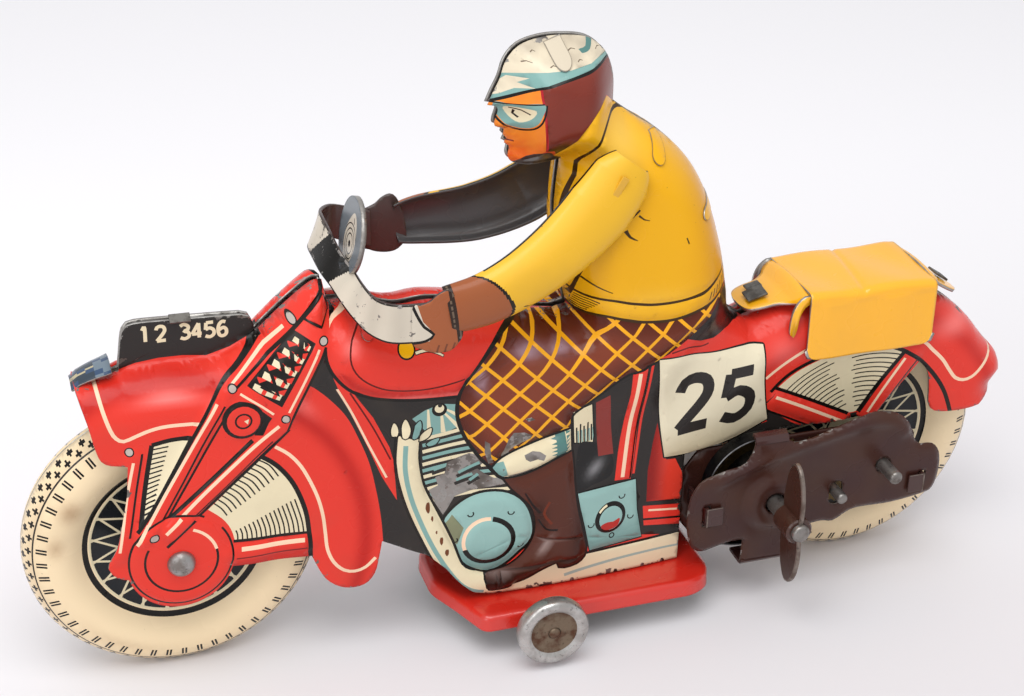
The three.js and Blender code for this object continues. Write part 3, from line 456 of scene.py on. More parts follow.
BOOT = (curve([(57.4, 32.6), (60, 32.9), (64, 34.1), (67, 35.3), (70.6, 36.3)])
        + curve([(70.6, 36.3), (71, 33), (71.3, 29), (72, 24), (73.2, 19), (74.2, 14.6), (73.9, 12.4),
        (72.4, 11), (70, 10.6), (68.8, 10.9), (68.4, 12), (65.6, 11.1), (62, 9.4), (58, 8.7),
        (55.2, 8.8), (54.6, 10.4), (54.4, 12.3), (56.6, 12.8), (59, 13.4), (61.4, 15.4), (63.2, 18.6),
        (63.6, 22), (62.8, 25.5), (61, 28), (59, 30.2), (57.4, 32.6)]))
CUFF = (CUFF_TOP + curve([(70.2, 41.1), (70.5, 36.3)]) + curve([(70.5, 36.3), (67, 35.2), (64, 34),
        (60.6, 33), (57.2, 32.8), (55.4, 34.9)]))
CRANKCASE = curve([(46.9, 24.3), (48.5, 26.6), (51, 28.4), (53.5, 29.4), (56.2, 29.8), (58.5, 29.4),
        (60.5, 28), (62, 25.8), (62.9, 23), (63.2, 20), (62.4, 17.9), (61, 16.5), (59, 14.5), (57, 13.2),
        (55, 12.6), (53, 12.9), (50.7, 14.9), (49, 17.6), (47.8, 20.8)], closed=True)
TANK = (curve([(29.6, 66.4), (27.4, 64.4), (26.7, 61.5), (27.2, 58.2), (28.8, 55.4), (31, 53.2),
        (34, 51.6), (38, 50.6), (43, 50), (49.6, 49.9)]) + [(56, 56), (64, 60.8), (62, 63), (54, 65),
        (41, 66), (32, 68.5)])
JACKET = (RIDER_FRONT[2:] + [(68.9, 88.8)] + curve([(68.9, 88.8), (68.3, 90.6), (69.6, 92.7), (72, 95.9),
          (74.2, 98.6), (76.7, 100.4), (78.8, 98.6), (80.6, 97.4)]) + [(110, 96), (110, 64)] + HEM[::-1])
GEARBOX = [(71.7, 27), (84, 26.8), (84.6, 20), (85.6, 13.9), (74.8, 13.4), (73.5, 19), (72.4, 23.5)]
RACE_PANEL = (curve([(86.4, 52.3), (92, 51.6), (97, 50.6), (103, 50.2), (109.2, 49.5)])
              + curve([(109.2, 49.5), (109.7, 43.6), (110.8, 38), (112, 32.6)])
              + curve([(112, 32.6), (105, 30.2), (98, 29.5), (89.6, 30.2)])
              + curve([(89.6, 30.2), (88.6, 35.5), (87.5, 43), (86.4, 52.3)]))
RIDGES = [(FORK_FRONT, 1.7, 0.55), (FORK_REAR, 1.7, 0.55), (FORK_HEAD, 1.3, 0.5), (FORK_BACK, 1.5, 0.5),
        ([(12.4, 54.6), (18, 49.9)], 1.1, 0.35), ([(-6.2, 45), (-8.2, 37), (-10.4, 27)], 1.6, 0.5),
        ([(9, 24), (22.8, 23)], 1.7, 0.5), (PIPE, 2.2, 1.0), ([(28.3, 57.4), (32.6, 48.5), (37.4, 36.5)],
        1.4, 0.4), ([(82.9, 50.6), (82.3, 42), (81.3, 28)], 1.5, 0.5),
        ([(113.5, 36.4), (121, 32.4), (127.8, 28.6)], 1.9, 0.5), ([(141, 43), (137.4, 37),
        (133.4, 30.6)], 1.9, 0.5), ([(57.6, 99.4), (60.4, 101.3), (64, 103.2), (70, 104.8), (78, 105.4)],
        1.1, 0.4), ([(72.4, 64.9), (77, 65.1), (85, 63.6), (90, 63.5), (98, 66.5), (102, 68)], 0.7,
        -0.3), (curve([(33.3, 64.9), (31.4, 62.6), (30.8, 59.6), (31.6, 57), (33.6, 54.8), (37, 53),
        (41.5, 52.3), (46, 52.5), (50.6, 53.4)]), 0.8, -0.3)]
FIELDS = [(ring_points(0, AXLE_Z + 0.4, 9.2), 0.5, 1.2), (ring_points(12.4, 49.7, 3.7), 0.5, 0.8),
        (TANK, 0.9, 2.5), (TROUSERS, 0.9, 2.2), (BOOT, 1.0, 2.2), (CUFF, 1.2, 1.6),
        (CRANKCASE, 0.7, 1.4), (ring_points(54.9, 19.8, 4.7), 0.5, 1.0), (GEARBOX, 0.4, 0.8),
        (ring_points(78.7, 20.1, 3.1), 0.35, 0.7), (JACKET, 0.5, 1.4), (RACE_PANEL, 0.3, 1.0)]


def pressed_depth(x, z, detail=True):
    """How far the printed face stands off the seam plane."""
    gap = (x[:, None] - STATIONS[:, 0]) ** 2 + (z[:, None] - STATIONS[:, 1]) ** 2
    weight = np.exp(-gap / (2 * STATION_SPREAD ** 2))
    full = ((weight * STATIONS[:, 2]).sum(1) + 8e-12) / (weight.sum(1) + 1e-12)
    off_seam = distance(SEAM, x, z)
    rise = np.sqrt(np.clip(1 - (1 - np.clip(off_seam / ROLL, 0, 1)) ** 2, 0, 1))
    flat_face = ease((z - 86.5) / 2.5) * ease((86 - x) / 5)
    rise = rise + (np.sin(math.pi / 2 * np.clip(off_seam / ROLL, 0, 1)) - rise) * flat_face
    if detail:
        calm = ease(off_seam / 3)
        for line, half, lift in RIDGES:
            full = full + lift * calm * np.sqrt(np.clip(1 - (distance(line, x, z) / half) ** 2, 0, 1))
        for field, lift, shoulder in FIELDS:
            full = full + lift * calm * inside(field, x, z) * ease(distance(field, x, z, True) / shoulder)
    return FACE + np.where(inside(UNDER_SEAM, x, z), full * rise, 0)


def blend(a, b, t):
    """Between two inks, t from 0 to 1 at each point."""
    return np.array(a) + (np.array(b) - np.array(a)) * np.clip(t, 0, 1)[:, None]


def guard_red(x, z):
    """Red of the mudguards: a broad highlight over the crown, lighter spots on the tail and a deeper band
    where the guard turns over, partly the print's own shading and partly painted highlight and shade."""
    front = x < 60
    r = np.where(front, np.hypot(x, z - 24), np.hypot(x - 131, z - 22))
    band_r = np.where(front, 33.2, 30.5)
    deep = np.exp(-((r - band_r) / 1.5) ** 2) * np.where(front, 0.85, 0.6)
    crown = (np.exp(-((x - 0.5) / 4.6) ** 2 - ((r - 31) / 1.0) ** 2)
             + 0.5 * np.exp(-((x - 22) / 2.6) ** 2 - ((r - 35.4) / 1.3) ** 2))
    crown = (crown + 0.75 * np.exp(-((x - 150) / 4.5) ** 2 - ((z - 47.4) / 2.0) ** 2)
             + 0.4 * np.exp(-((x - 113) / 3) ** 2 - ((z - 48) / 2.6) ** 2))
    tone = blend(RED, DEEP_RED, deep)
    return tone + (np.array(HIGHLIGHT_RED) - tone) * np.clip(crown, 0, 1)[:, None]


def tank_red(x, z):
    # Painted shade along the tank's lower rim, a painted highlight spot near the top front and a thin
    # lighter line along the bottom edge.
    rim = np.exp(-((distance(TANK, x, z, True) - 1.2) / 1.0) ** 2) * (z < 57)
    shine = np.exp(-((x - 31) / 1.5) ** 2 - ((z - 61.4) / 1.6) ** 2)
    low = np.exp(-((z - 50.6) / 0.5) ** 2)
    tone = blend(RED, DEEP_RED, rim * 0.85)
    return tone + (np.array(HIGHLIGHT_RED) - tone) * np.clip(shine * 0.75 + low * 0.5, 0, 1)[:, None]


def jacket_yellow(x, z):
    shade = ease((x - 88 - (70 - z) * 0.05) / 14)
    light = (np.exp(-((x - 79) / 4) ** 2 - ((z - 93) / 4) ** 2) + 0.35 * np.exp(-((x - 84) / 8) ** 2
             - ((z - 64.5) / 2) ** 2))
    tone = blend(YELLOW, ORANGE_YELLOW, shade * 0.75)
    return tone + (np.array(PALE_YELLOW) - tone) * np.clip(light, 0, 1)[:, None]


def trouser_brown(x, z):
    # Painted shade: the brown darkens towards the edges of the leg and is lighter in the middle; the
    # sheen spots are painted highlights on the thigh and hip.
    rim = np.clip(distance(TROUSERS, x, z, True) / 5, 0, 1)
    sheen = (np.exp(-((x - 62) / 2.2) ** 2 - ((z - 57.2) / 1.0) ** 2)
             + np.exp(-((x - 68) / 2) ** 2 - ((z - 56.8) / 0.8) ** 2))
    sheen = sheen + 0.8 * np.exp(-((x - 53.3) / 1.0) ** 2 - ((z - 53) / 2.2) ** 2)
    tone = blend(paint("4a1606"), paint("7d3a26"), rim)
    return tone + (np.array(paint("a88a96")) - tone) * np.clip(sheen, 0, 0.8)[:, None]


def boot_brown(x, z):
    # Painted shade along the sole, down the back of the boot and in the instep crease, and painted
    # highlights (shine) on the toe and instep.
    dark = np.clip(np.exp(-((z - 10) / 2.2) ** 2) + np.exp(-((x - 72.6) / 2.0) ** 2
            - ((z - 17) / 8) ** 2) * 0.7 + np.exp(-((x - 64.4) / 1.3) ** 2
            - ((z - 24) / 3.5) ** 2) * 0.7, 0, 1)
    shine = (np.exp(-((x - 65.6 - (z - 17) * 0.5) / 0.8) ** 2 - ((z - 17) / 1.8) ** 2)
             + 0.5 * np.exp(-((x - 57.5) / 2.2) ** 2 - ((z - 12) / 0.5) ** 2))
    tone = blend(paint("54291c"), paint("240d05"), dark)
    return tone + (np.array(paint("a8958f")) - tone) * np.clip(shine, 0, 0.8)[:, None]


def face_orange(x, z):
    return blend(paint("f08a2c"), paint("e2571a"), ease((95.5 - z) / 6) * 0.8
            + 0.2 * np.sin(x * 9) * np.sin(z * 4))


def panel_red(x, z):
    return blend(paint("8d0f08"), paint("e0402f"), ease((x - 86.8) / 4.5))


def case_teal(x, z):
    return blend(paint("93b8b2"), paint("6c8f8a"), ease((21 - z) / 7) * 0.8)


def ear_maroon(x, z):
    return blend(paint("7c3327"), paint("20100c"), ease((94.6 - z - 0.6 * (np.sin(x * 8) > 0)) / 2.4))


def race_cream(x, z):
    # Race panel cream, greyer towards the bottom as painted shade.
    return blend(paint("e9dfc2"), paint("bfae8c"), ease((38 - z) / 9) * 0.8)


def saddle_black(x, z):
    return blend(paint("17100f"), paint("4a2a22"), np.exp(-((x - 98) / 4) ** 2
            - ((z - 55.6) / 1.2) ** 2) * 0.6)


# Plain block figures, as pen strokes in a box one unit wide and one high.
FIGURES = {"1": [[(0.3, 0.8), (0.55, 1), (0.55, 0)]], "2": [[(0.08, 0.76), (0.2, 0.94), (0.5, 1),
        (0.82, 0.92), (0.9, 0.7), (0.7, 0.45), (0.1, 0), (0.1, 0), (0.95, 0)]],
        "3": [[(0.1, 0.9), (0.45, 1), (0.85, 0.85), (0.8, 0.62), (0.45, 0.53), (0.85, 0.42), (0.9, 0.15),
        (0.5, 0), (0.08, 0.1)]], "4": [[(0.75, 0), (0.75, 1), (0.75, 1), (0.08, 0.28), (0.08, 0.28),
        (1.0, 0.28)]], "5": [[(0.88, 1), (0.2, 1), (0.2, 1), (0.12, 0.52), (0.12, 0.52), (0.5, 0.62),
        (0.88, 0.45), (0.88, 0.16), (0.5, 0), (0.08, 0.1)]], "6": [[(0.85, 0.95), (0.5, 1), (0.18, 0.75),
        (0.1, 0.35), (0.25, 0.06), (0.55, 0), (0.86, 0.14), (0.88, 0.42), (0.6, 0.58), (0.15, 0.42)]]}


def figure(mark, x, z, wide, high, pen, tone, slope=0.0, rub=0.25):
    """One figure drawn with a broad pen."""
    done = []
    for line in FIGURES[mark]:
        line = [(x + u * wide, z + v * high + slope * u * wide) for u, v in line]
        start = 0
        parts = []
        for i in range(1, len(line)):
            if line[i] == line[i - 1]:
                parts.append(line[start:i])
                start = i
        parts.append(line[start:])
        for part in parts:
            done.append((band(curve(part, pen * 0.4), pen), tone, rub, None))
    return done


def stroke(points, width, tone, clip=None, end=None, rub=0.22, step=0.9):
    return (band(curve(points, step), width, end), tone, rub, clip)


def fill(outline, tone, clip=None, rub=0.22):
    return (outline, tone, rub, clip)


def body_inks(right):
    """The printed design of one half, in printing order."""
    inks = []
    add = inks.append
    add(fill([(-30, -5), (175, -5), (175, 125), (-30, 125)], guard_red))
    # number plate with plain figures
    add(fill(PLATE_EDGE + [(16.5, 62.3), (12, 60), (8, 58.9), (4, 59.5), (0, 59.6), (-4, 59.2),
            (-6.9, 58.4), (-9, 60), (-8, 70), (20, 70)], SOOT, rub=0.34))
    start, spaces = (-2.9, 62.9), (0, 2.9, 7.2, 9.3, 11.7, 14.0)
    for mark, off in zip("123456", spaces):
        x0 = start[0] + off * 0.93
        shape = figure(mark, x0, start[1] - off * 0.05, 1.75, 2.7, 0.62, CREAM)
        if right:
            shape = [([(10.6 - px - 0.9, pz) for px, pz in s[0]], *s[1:]) for s in shape]
        inks.extend(shape)
    # front mudguard
    add(stroke([(-11.2, 58), (-10.5, 54), (-9.6, 50.6), (-8.8, 49), (-7.6, 48.3), (-5.6, 49), (-3, 49.9),
            (0, 50.3), (5.4, 50.1)], 0.66, PIN))
    add(fill(curve([(-7, 43), (-9, 33), (-11, 26), (-12.8, 26), (-12, 33), (-9, 44)]), RED))
    add(stroke([(-6.4, 44.2), (-8.3, 36.5), (-10.2, 28)], 0.5, PIN))
    add(stroke([(-4.8, 45.6), (-6.6, 37.4), (-8.3, 30.4)], 0.42, BLACK))
    wedge = (curve([(-3.1, 47), (0, 47.6), (3.6, 47.7)]) + curve([(3.6, 47.7), (0, 41.5), (-3.5, 35.8),
             (-6.3, 32)]) + curve([(-6.3, 32), (-5.4, 36.4), (-4.2, 42), (-3.1, 47)]))
    add(fill(wedge, CREAM, rub=0.12))
    for i in range(15):
        z = 46.2 - i * 0.93
        x = -3.1 - (47 - z) * 0.2
        add(stroke([(x - 0.2, z - 0.1), (x + 2.9 - i * 0.09, z + 0.25 + i * 0.07)], 0.27, BLACK, wedge))
    add((band(wedge + [wedge[0]], 0.8), BLACK, 0.22, None))
    # the open space behind the front guard, the down tube and the tank
    behind = ([(26.3, 61), (23.6, 55.4)] + curve([(23.6, 55.4), (27, 52), (30, 48), (32, 43.5),
              (33.9, 38), (35.1, 32), (35.9, 26), (36.2, 20.5)]) + [(46, 14), (60, 20), (96, 12),
              (97, 30), (89, 53), (80, 54), (60, 57), (48, 50), (34, 51.6), (28, 56)])
    add(fill(behind, SOOT, rub=0.3))
    add(fill([(26.4, 60.4), (28.6, 54), (31, 48), (34, 40.5), (36, 35), (38.7, 29.6), (38.1, 38),
            (37.4, 41), (34.6, 47.4), (31.6, 52.2), (28.2, 58.2)], RED))
    add(stroke([(28.5, 53.8), (31, 48.6), (34, 41.3), (36.9, 34.6)], 0.42, PIN))
    add(stroke([(30.6, 53), (34.4, 45.7), (37.5, 38.6)], 0.3, paint("5a0d08")))
    add(fill(TANK, tank_red, clip=None))
    add((band(TANK[:TANK.index((56, 56))], 0.62), BLACK, 0.22, None))
    add(stroke([(33.3, 64.9), (31.4, 62.6), (30.8, 59.6), (31.6, 57), (33.6, 54.8), (37, 53),
            (41.5, 52.3), (46, 52.5), (50.6, 53.4)], 0.3, paint("57110a")))
    add(stroke([(27.7, 64.5), (29, 65.5), (31.4, 66.2)], 0.5, PIN))
    add(fill(ring_points(40.6, 59.9, 1.6, step=0.4), BLACK))
    add(fill(ring_points(40.6, 59.9, 1.3, step=0.4), YELLOW))
    add(stroke([(42, 59.2), (44, 59.5), (45.6, 59.1), (46.9, 58.4)], 0.75, BLACK, end=0.5))
    add(stroke([(42.1, 59.2), (44, 59.5), (45.6, 59.1), (46.8, 58.45)], 0.42, CREAM, end=0.3))
    # hatched side of the front guard, its black border and the rear flap's pinline
    fan = ([(14.9, 42.2), (5.3, 33.6)] + curve([(5.3, 33.6), (7.6, 31.4), (9, 29), (9.6, 26.3)])
           + [(22.8, 25.2)] + curve([(22.8, 25.2), (22.2, 30), (20.3, 35.6), (17.6, 39.8), (14.9, 42.2)]))
    add(fill(fan, CREAM, rub=0.12))
    for i in range(12):
        a = i / 11
        x, z = 6.3 + a * 8.2, 34.4 + a * 6.8
        add(stroke([(x - 0.3, z + 0.6), (x + 1.3 + a * 0.6, z - 1.0),
                (x + 2.2 + a * 1.2, z - 2.6 - a * 0.9)], 0.27, BLACK, fan, step=0.6))
    for i in range(15):
        a = i / 14
        x = 10.0 + a * 11.9
        add(stroke([(x + 0.05, 26.0 - a), (x + 0.1 - a * 0.35, 27.6 + a * 0.4),
                (x - 0.15 - a * 1.2, 28.5 + a * 4)], 0.27, BLACK, fan, step=0.6))
    add(stroke([(14.6, 42.5), (17.6, 40), (20.4, 35.8), (22.3, 30.2), (22.9, 25), (23, 19)], 0.85, BLACK))
    add(stroke([(9.3, 26.4), (22.8, 25.1)], 0.6, BLACK))
    add(stroke([(17.6, 43.6), (20, 41.6), (22, 38.8), (23.6, 35.2), (24.8, 31.6), (25.5, 28),
            (25.8, 24.4), (26.1, 20.8), (27.2, 17.8), (29, 15.8), (31, 15.2), (33, 15.8), (34.8, 17.6)],
            0.62, PIN, rub=0.4))
    add(fill([(9.2, 26), (22.4, 24.9), (22.5, 19), (9, 20)], blend_stay))
    add(stroke([(10.6, 24.7), (22, 23.9)], 0.85, PIN))
    add(stroke([(9.6, 22.9), (22.4, 22.1)], 0.3, paint("7a1712")))
    # fork tubes, their outlines and highlights
    head = [(8.2, 54.8), (16.5, 62.6), (27.2, 72), (29.5, 71), (28.6, 66), (26.9, 61.5), (21.4, 50.4),
            (19.8, 46.4), (17, 44)]
    add(fill(head + [(10, 49)], RED))
    tube_a = [(8.6, 55.4), (5, 49.6), (-0.2, 41.3), (-7, 31), (-3.6, 31.4), (2.6, 40.6), (9.4, 52.4)]
    for area in (
            tube_a,
            [(9.2, 50.6), (4.5, 43), (-1.8, 32.8), (2, 36), (13.8, 45.6)],
            [(19.4, 48.6), (13.8, 45.6), (2, 36), (-2.2, 32), (-2.2, 27.4), (3, 31.6), (9, 36.8),
                (15, 41.8), (20, 46)]):
        add(fill(area, RED))
    for width, tone, line in (
            (0.62, BLACK, [(17, 62.9), (12.6, 59), (9.6, 56.6), (7.6, 54), (3.5, 47.3), (0, 41.5),
                (-3.5, 35.8), (-6.9, 31.2)]),
            (0.4, BLACK, [(9.5, 52.8), (5, 45.6), (1, 38.8), (-3.4, 31.6)]),
            (0.55, PIN, [(8.2, 53.4), (2.6, 44.6), (-2.8, 36), (-7.2, 28.8)]),
            (0.42, BLACK, [(9.3, 50.4), (4.6, 43), (-1.8, 32.8)]),
            (0.6, BLACK, [(-1.8, 32.8), (2.2, 36), (8, 40.8), (13.8, 45.6)]),
            (0.62, BLACK, [(20.2, 46.6), (18.4, 44.9), (15, 42), (9, 37.2), (3, 32.1), (-2.2, 27.6)]),
            (0.35, paint("4a0d08"), [(17.2, 44.9), (10, 38.8), (3, 32.9), (-2.2, 28.6)]),
            (0.62, PIN, [(18.4, 47.8), (12.5, 43.4), (5, 37.2), (-2.2, 30.5)]),
            (0.5, BLACK, [(28.2, 70.9), (22.4, 65.2), (17.5, 60.8), (11.6, 55.7)]),
            (0.38, PIN, [(20.6, 64.8), (16.4, 61.2), (11, 56.4)])):
        add(stroke(line, width, tone))
    spring = [(13.7, 55.8), (22.1, 64.6), (25, 62.9), (19, 51.4)]
    add(fill(spring, BLACK))
    zig = []
    for i in range(5):
        a = i / 4
        left = (14.5 + a * 7.3, 55.7 + a * 7.7)
        right_end = (19.0 + a * 5.3, 53.2 + a * 8.6)
        add(fill(band([left, right_end], 1.25 - a * 0.35), CREAM, spring, rub=0.2))
        for t in (0.32, 0.72):
            c = (left[0] + (right_end[0] - left[0]) * t, left[1] + (right_end[1] - left[1]) * t)
            d = (left[0] + (right_end[0] - left[0]) * (t + 0.14), left[1]
                    + (right_end[1] - left[1]) * (t + 0.14))
            add(fill(band([c, d], 1.3), RED, spring))
        if i < 4:
            mid_l = (left[0] + 0.9, left[1] + 0.95)
            mid_r = (right_end[0] + 0.65, right_end[1] + 1.05)
            add(fill([(mid_l[0] - 0.2, mid_l[1] + 0.7), (mid_l[0] + 1.6, mid_l[1] + 0.1),
                    (mid_l[0] + 0.1, mid_l[1] - 0.4)], RED, spring))
            add(fill([(mid_r[0] + 0.4, mid_r[1] + 0.5), (mid_r[0] - 1.7, mid_r[1] + 0.2),
                    (mid_r[0] - 0.2, mid_r[1] - 0.7)], RED, spring))
        zig += [(left[0] + 1.3, left[1] + 0.1), (right_end[0] - 0.5, right_end[1] + 0.5)]
    add((band(zig, 0.85), BLACK, 0.2, spring))
    add((band(spring + [spring[0], spring[1]], 0.42), BLACK, 0.2, None))
    for width, tone, line in (
            (0.5, BLACK, [(26.9, 62), (23.8, 55.4), (21.4, 50.2), (19.9, 46.4)]),
            (0.42, PIN, [(25.7, 61.8), (23, 56), (20.2, 50.2)]),
            (0.42, PIN, [(12.2, 54.7), (15, 52.6), (17.6, 50.2)])):
        add(stroke(line, width, tone))
    add((band([(23.8, 66.5), (27.5, 69.9), (28.3, 68), (28.6, 66.6), (26.6, 65), (23.8, 66.5)], 0.45),
            BLACK, 0.2, None))
    for tone, area in (
            (BLACK, [(15.2, 51.6), (17.3, 49.4), (15.6, 46.4), (14.2, 46.4)]),
            (BLACK, ring_points(12.4, 49.7, 3.6)),
            (RED, ring_points(12.4, 49.7, 2.85))):
        add(fill(area, tone))
    add((hoop(12.4, 49.7, 1.35, 0.34, 0.5), BLACK, 0.2, None))
    add(fill([(12.5, 49.7), (13.3, 50.0), (13.1, 49.0)], CREAM))
    # front hub
    hub = (0.1, AXLE_Z + 0.5)
    add(fill(ring_points(*hub, 9.0), RED))
    for width, tone, line in (
            (0.38, BLACK, ring_points(*hub, 9.0, 60, 395)),
            (0.42, BLACK, ring_points(*hub, 6.3, 150, 372)),
            (0.55, PIN, ring_points(*hub, 6.3, 12, 68)),
            (0.55, PIN, [(-5, 32.6), (-7.2, 28.8)]),
            (0.62, PIN, [(0.6, 33), (-2.2, 30.5)]),
            (0.55, BLACK, [(3, 32.1), (-2.2, 27.6)])):
        add(stroke(line, width, tone))
    for x, z, r in ((11, 55.7, 0.62), (22, 66, 0.6), (26.6, 63, 0.62), (19.6, 49, 0.62),
            (-4.2, 29.9, 0.7), (-6.9, 46.2, 0.6)):
        add(fill(ring_points(x, z, r + 0.22, step=0.3), BLACK))
        add(fill(ring_points(x, z, r, step=0.3), paint("b7ada4"), rub=0.5))
    inks.extend(engine_inks())
    inks.extend(rider_inks())
    inks.extend(rear_inks(right))
    return inks


def blend_stay(x, z):
    return blend(RED, DEEP_RED, ease((23.4 - z) / 2) * 0.6)


def engine_inks():
    inks = []
    add = inks.append
    # ribbed cylinder and its head
    head = [(41.4, 46.4), (43.6, 47.8), (46.5, 48.8), (49.6, 48.4), (50.4, 44.4), (47.4, 42.9),
            (44.6, 42.6)]
    add(fill(head, TEAL, rub=0.3))
    for a, b in (((44.2, 47.9), (44.4, 42.9)), ((46.5, 47.4), (46.9, 43)), ((47, 47), (50, 43.4)),
            ((47.4, 47.6), (50.2, 45.8))):
        add(stroke([a, b], 0.35, CREAM, end=0.85))
    for tone, area in (
            (BLACK, ring_points(46.2, 47.7, 1.35, step=0.5)),
            (CREAM, ring_points(46.2, 47.9, 0.85, step=0.4)),
            (SOOT, ring_points(46.3, 48.5, 0.4, step=0.3))):
        add(fill(area, tone))
    for i in range(11):
        z = 42.0 - i * 1.32
        tone = (CREAM, TEAL)[i % 2]
        end_x = 50 + max(0, 44 - z) * 0.62
        add(stroke([(43.2 + (i > 7) * (i - 7) * 0.5, z), (47, z + 0.6), (end_x, z + 1.7)], 0.72, tone,
                rub=0.42, step=1.5))
    bare = [(47.6, 36.5), (49.2, 37.3), (51.5, 38.2), (53.5, 37.6), (54, 36), (53, 34.8), (54.4, 33.6),
            (56, 32.7), (60, 33.2), (63, 33.8), (63.4, 32.8), (59.5, 31.8), (57, 31.2), (52, 30.2),
            (49, 29.3), (47.6, 27), (46.8, 25.9), (45.4, 28.5), (44.3, 31.3), (46, 32), (45.5, 33.8),
            (47.2, 34.3)]
    add(fill(bare, TIN, rub=1.0))
    for x0, z0, x1, z1 in ((49.4, 33.4, 53.6, 35.4), (49, 31.9, 52.4, 33), (51.4, 31.6, 53.4, 32.9),
            (44.9, 34.6, 47.4, 35.2)):
        add(stroke([(x0, z0), (x1, z1)], 0.7, SOOT, rub=0.5))
        add(stroke([(x0 + 0.3, z0 + 0.75), (x1 - 0.2, z1 + 0.7)], 0.6, TEAL, rub=0.5))
    # crankcase with its round cover
    add((band(CRANKCASE + CRANKCASE[:2], 1.15), BLACK, 0.3, None))
    add(fill(CRANKCASE, case_teal, rub=0.32))
    add(fill([(47.2, 24.2), (48.4, 25.8), (50.4, 23), (49.2, 19.6), (48, 20.6)], paint("7f8265"),
            rub=0.45))
    add(fill(ring_points(54.9, 19.8, 4.6), case_teal, rub=0.25))
    add(stroke(ring_points(54.9, 19.8, 4.6, 84, 200), 0.66, PIN))
    add(stroke(ring_points(54.9, 19.8, 4.6, 200, 440), 0.95, BLACK))
    for x, z, turn in ((51.7, 25.7, -20), (58.9, 25.7, -50), (61, 17.9, -30), (48.7, 20.6, -10)):
        add(stroke(ring_points(x, z, 0.55, turn - 150, turn + 60, 0.3), 0.26, BLACK))
    # exhaust pipe, its curled fins and the sill
    pipe = (curve([(38.8, 43.6), (38.5, 38), (39.2, 33), (40.7, 27.4), (42.8, 21.8), (45.2, 16.4),
            (48.4, 11.6), (51, 9.2), (53.6, 7.7), (57, 7)]) + [(57, 12.4), (54.6, 12.3)]
            + curve([(54.6, 12.3), (52.4, 13.2), (50, 15.2), (48.2, 20.4), (45.9, 26), (43.7, 31.2),
            (42.9, 34), (42.3, 38.5), (42.5, 42.4)]))
    add((band(pipe + [pipe[0]], 1.0), BLACK, 0.25, None))
    add(fill(pipe, CREAM, rub=0.34))
    add(stroke([(40.0, 41.6), (39.9, 36.5), (40.8, 31), (42.5, 25.4), (44.8, 19.6), (47.6, 14.2),
            (50.2, 10.6), (53, 8.9), (57, 8.3)], 0.85, TEAL, rub=0.3))
    for x, z, dx, dz, tone in ((38.3, 44.6, -0.1, 1.3, CREAM), (40.2, 44.8, 0, 1.6, CREAM),
            (42.3, 44.3, 0.5, 1.5, TEAL), (43.9, 42.9, 0.9, 1.2, CREAM), (45.2, 41.1, 1.0, 0.7, TEAL)):
        shape = curve([(x - dx - dz * 0.42, z - dz + dx * 0.42), (x - dz * 0.45, z + dx * 0.45),
                (x + dx, z + dz), (x + dz * 0.45, z - dx * 0.45), (x - dx + dz * 0.1, z - dz)], 0.4,
                closed=True)
        add((band(shape + shape[:2], 0.5), BLACK, 0.2, None))
        add(fill(shape, tone))
    for x, z, w, h in ((43.9, 28, 0.9, 1.7), (44.6, 25.8, 0.5, 0.9), (46.2, 21, 0.7, 1.4),
            (47.2, 18.4, 0.8, 1.2), (45.3, 23, 0.4, 0.6)):
        spot = curve([(x - w * 0.5, z), (x - w * 0.2, z + h * 0.6), (x + w * 0.45, z + h * 0.5),
                (x + w * 0.4, z - h * 0.3), (x, z - h * 0.6)], 0.4, closed=True)
        add(fill(spot, paint("6e3a1c"), pipe, rub=0.6))
    sill = [(54.4, 12.4), (75, 12.9), (93, 13), (99, 13), (99, 5), (54, 5)]
    add(fill(sill, CREAM, rub=0.36))
    add(stroke([(70, 8.9), (74, 9.6), (80, 10.2), (86, 10.4), (92, 10.3), (96, 10)], 0.7,
            paint("9db3ab"), end=0.4, rub=0.3))
    add(stroke([(74, 13.1), (96, 13.2)], 0.55, BLACK))
    for x in (57.4, 62.9, 66.3, 71.6, 80.4, 86, 90.2):
        add(fill([(x - 0.5, 7), (x - 0.2, 8), (x + 0.3, 7.9), (x + 0.6, 7)], SOOT, rub=0.6))
    # things behind the boot: ribbed block, gloss pipe, maroon panel, frame tube, gearbox
    block = [(70.2, 44.4), (74, 45.4), (75, 38), (74.7, 36.4), (70.8, 37.6)]
    add(fill(block, CREAM, rub=0.3))
    for i in range(5):
        x = 71.2 + i * 0.75
        add(stroke([(x, 40.8 + (i % 2) * 0.6), (x + 0.25, 37.2)], 0.32, BLACK, block))
        add(stroke([(x + 0.36, 40), (x + 0.6, 37.2)], 0.24, TEAL, block))
    add((band(block + [block[0]], 0.35), BLACK, 0.2, None))
    add(fill(curve([(71.8, 36.6), (74.6, 36.8), (77.6, 34.8), (79.2, 31.6), (78.6, 28.6), (74.8, 27.8),
            (71.6, 27.6)], closed=True), glossy_black, rub=0.2))
    add(fill([(74.6, 45.5), (77.3, 46.6), (79.1, 33.2), (76, 33.4)], paint("8a332c"), rub=0.3))
    add(fill([(81.4, 50.6), (84.3, 51.4), (84, 46), (83.6, 40), (83.4, 33), (82.9, 27), (79.6, 27.3),
            (80, 33), (80.7, 40), (81.2, 46)], RED))
    for width, tone, line in (
            (0.75, PIN, [(82.7, 50.4), (82.2, 44), (81.6, 36), (81, 28)]),
            (0.4, BLACK, [(84.4, 51.3), (83.7, 44), (83.2, 36), (82.7, 27.2)]),
            (0.5, RED, [(85.2, 51.6), (84.5, 44), (84, 36), (83.4, 28)])):
        add(stroke(line, width, tone))
    add(fill(GEARBOX, case_teal, rub=0.26))
    add((band(GEARBOX + [GEARBOX[0]], 0.3), BLACK, 0.2, None))
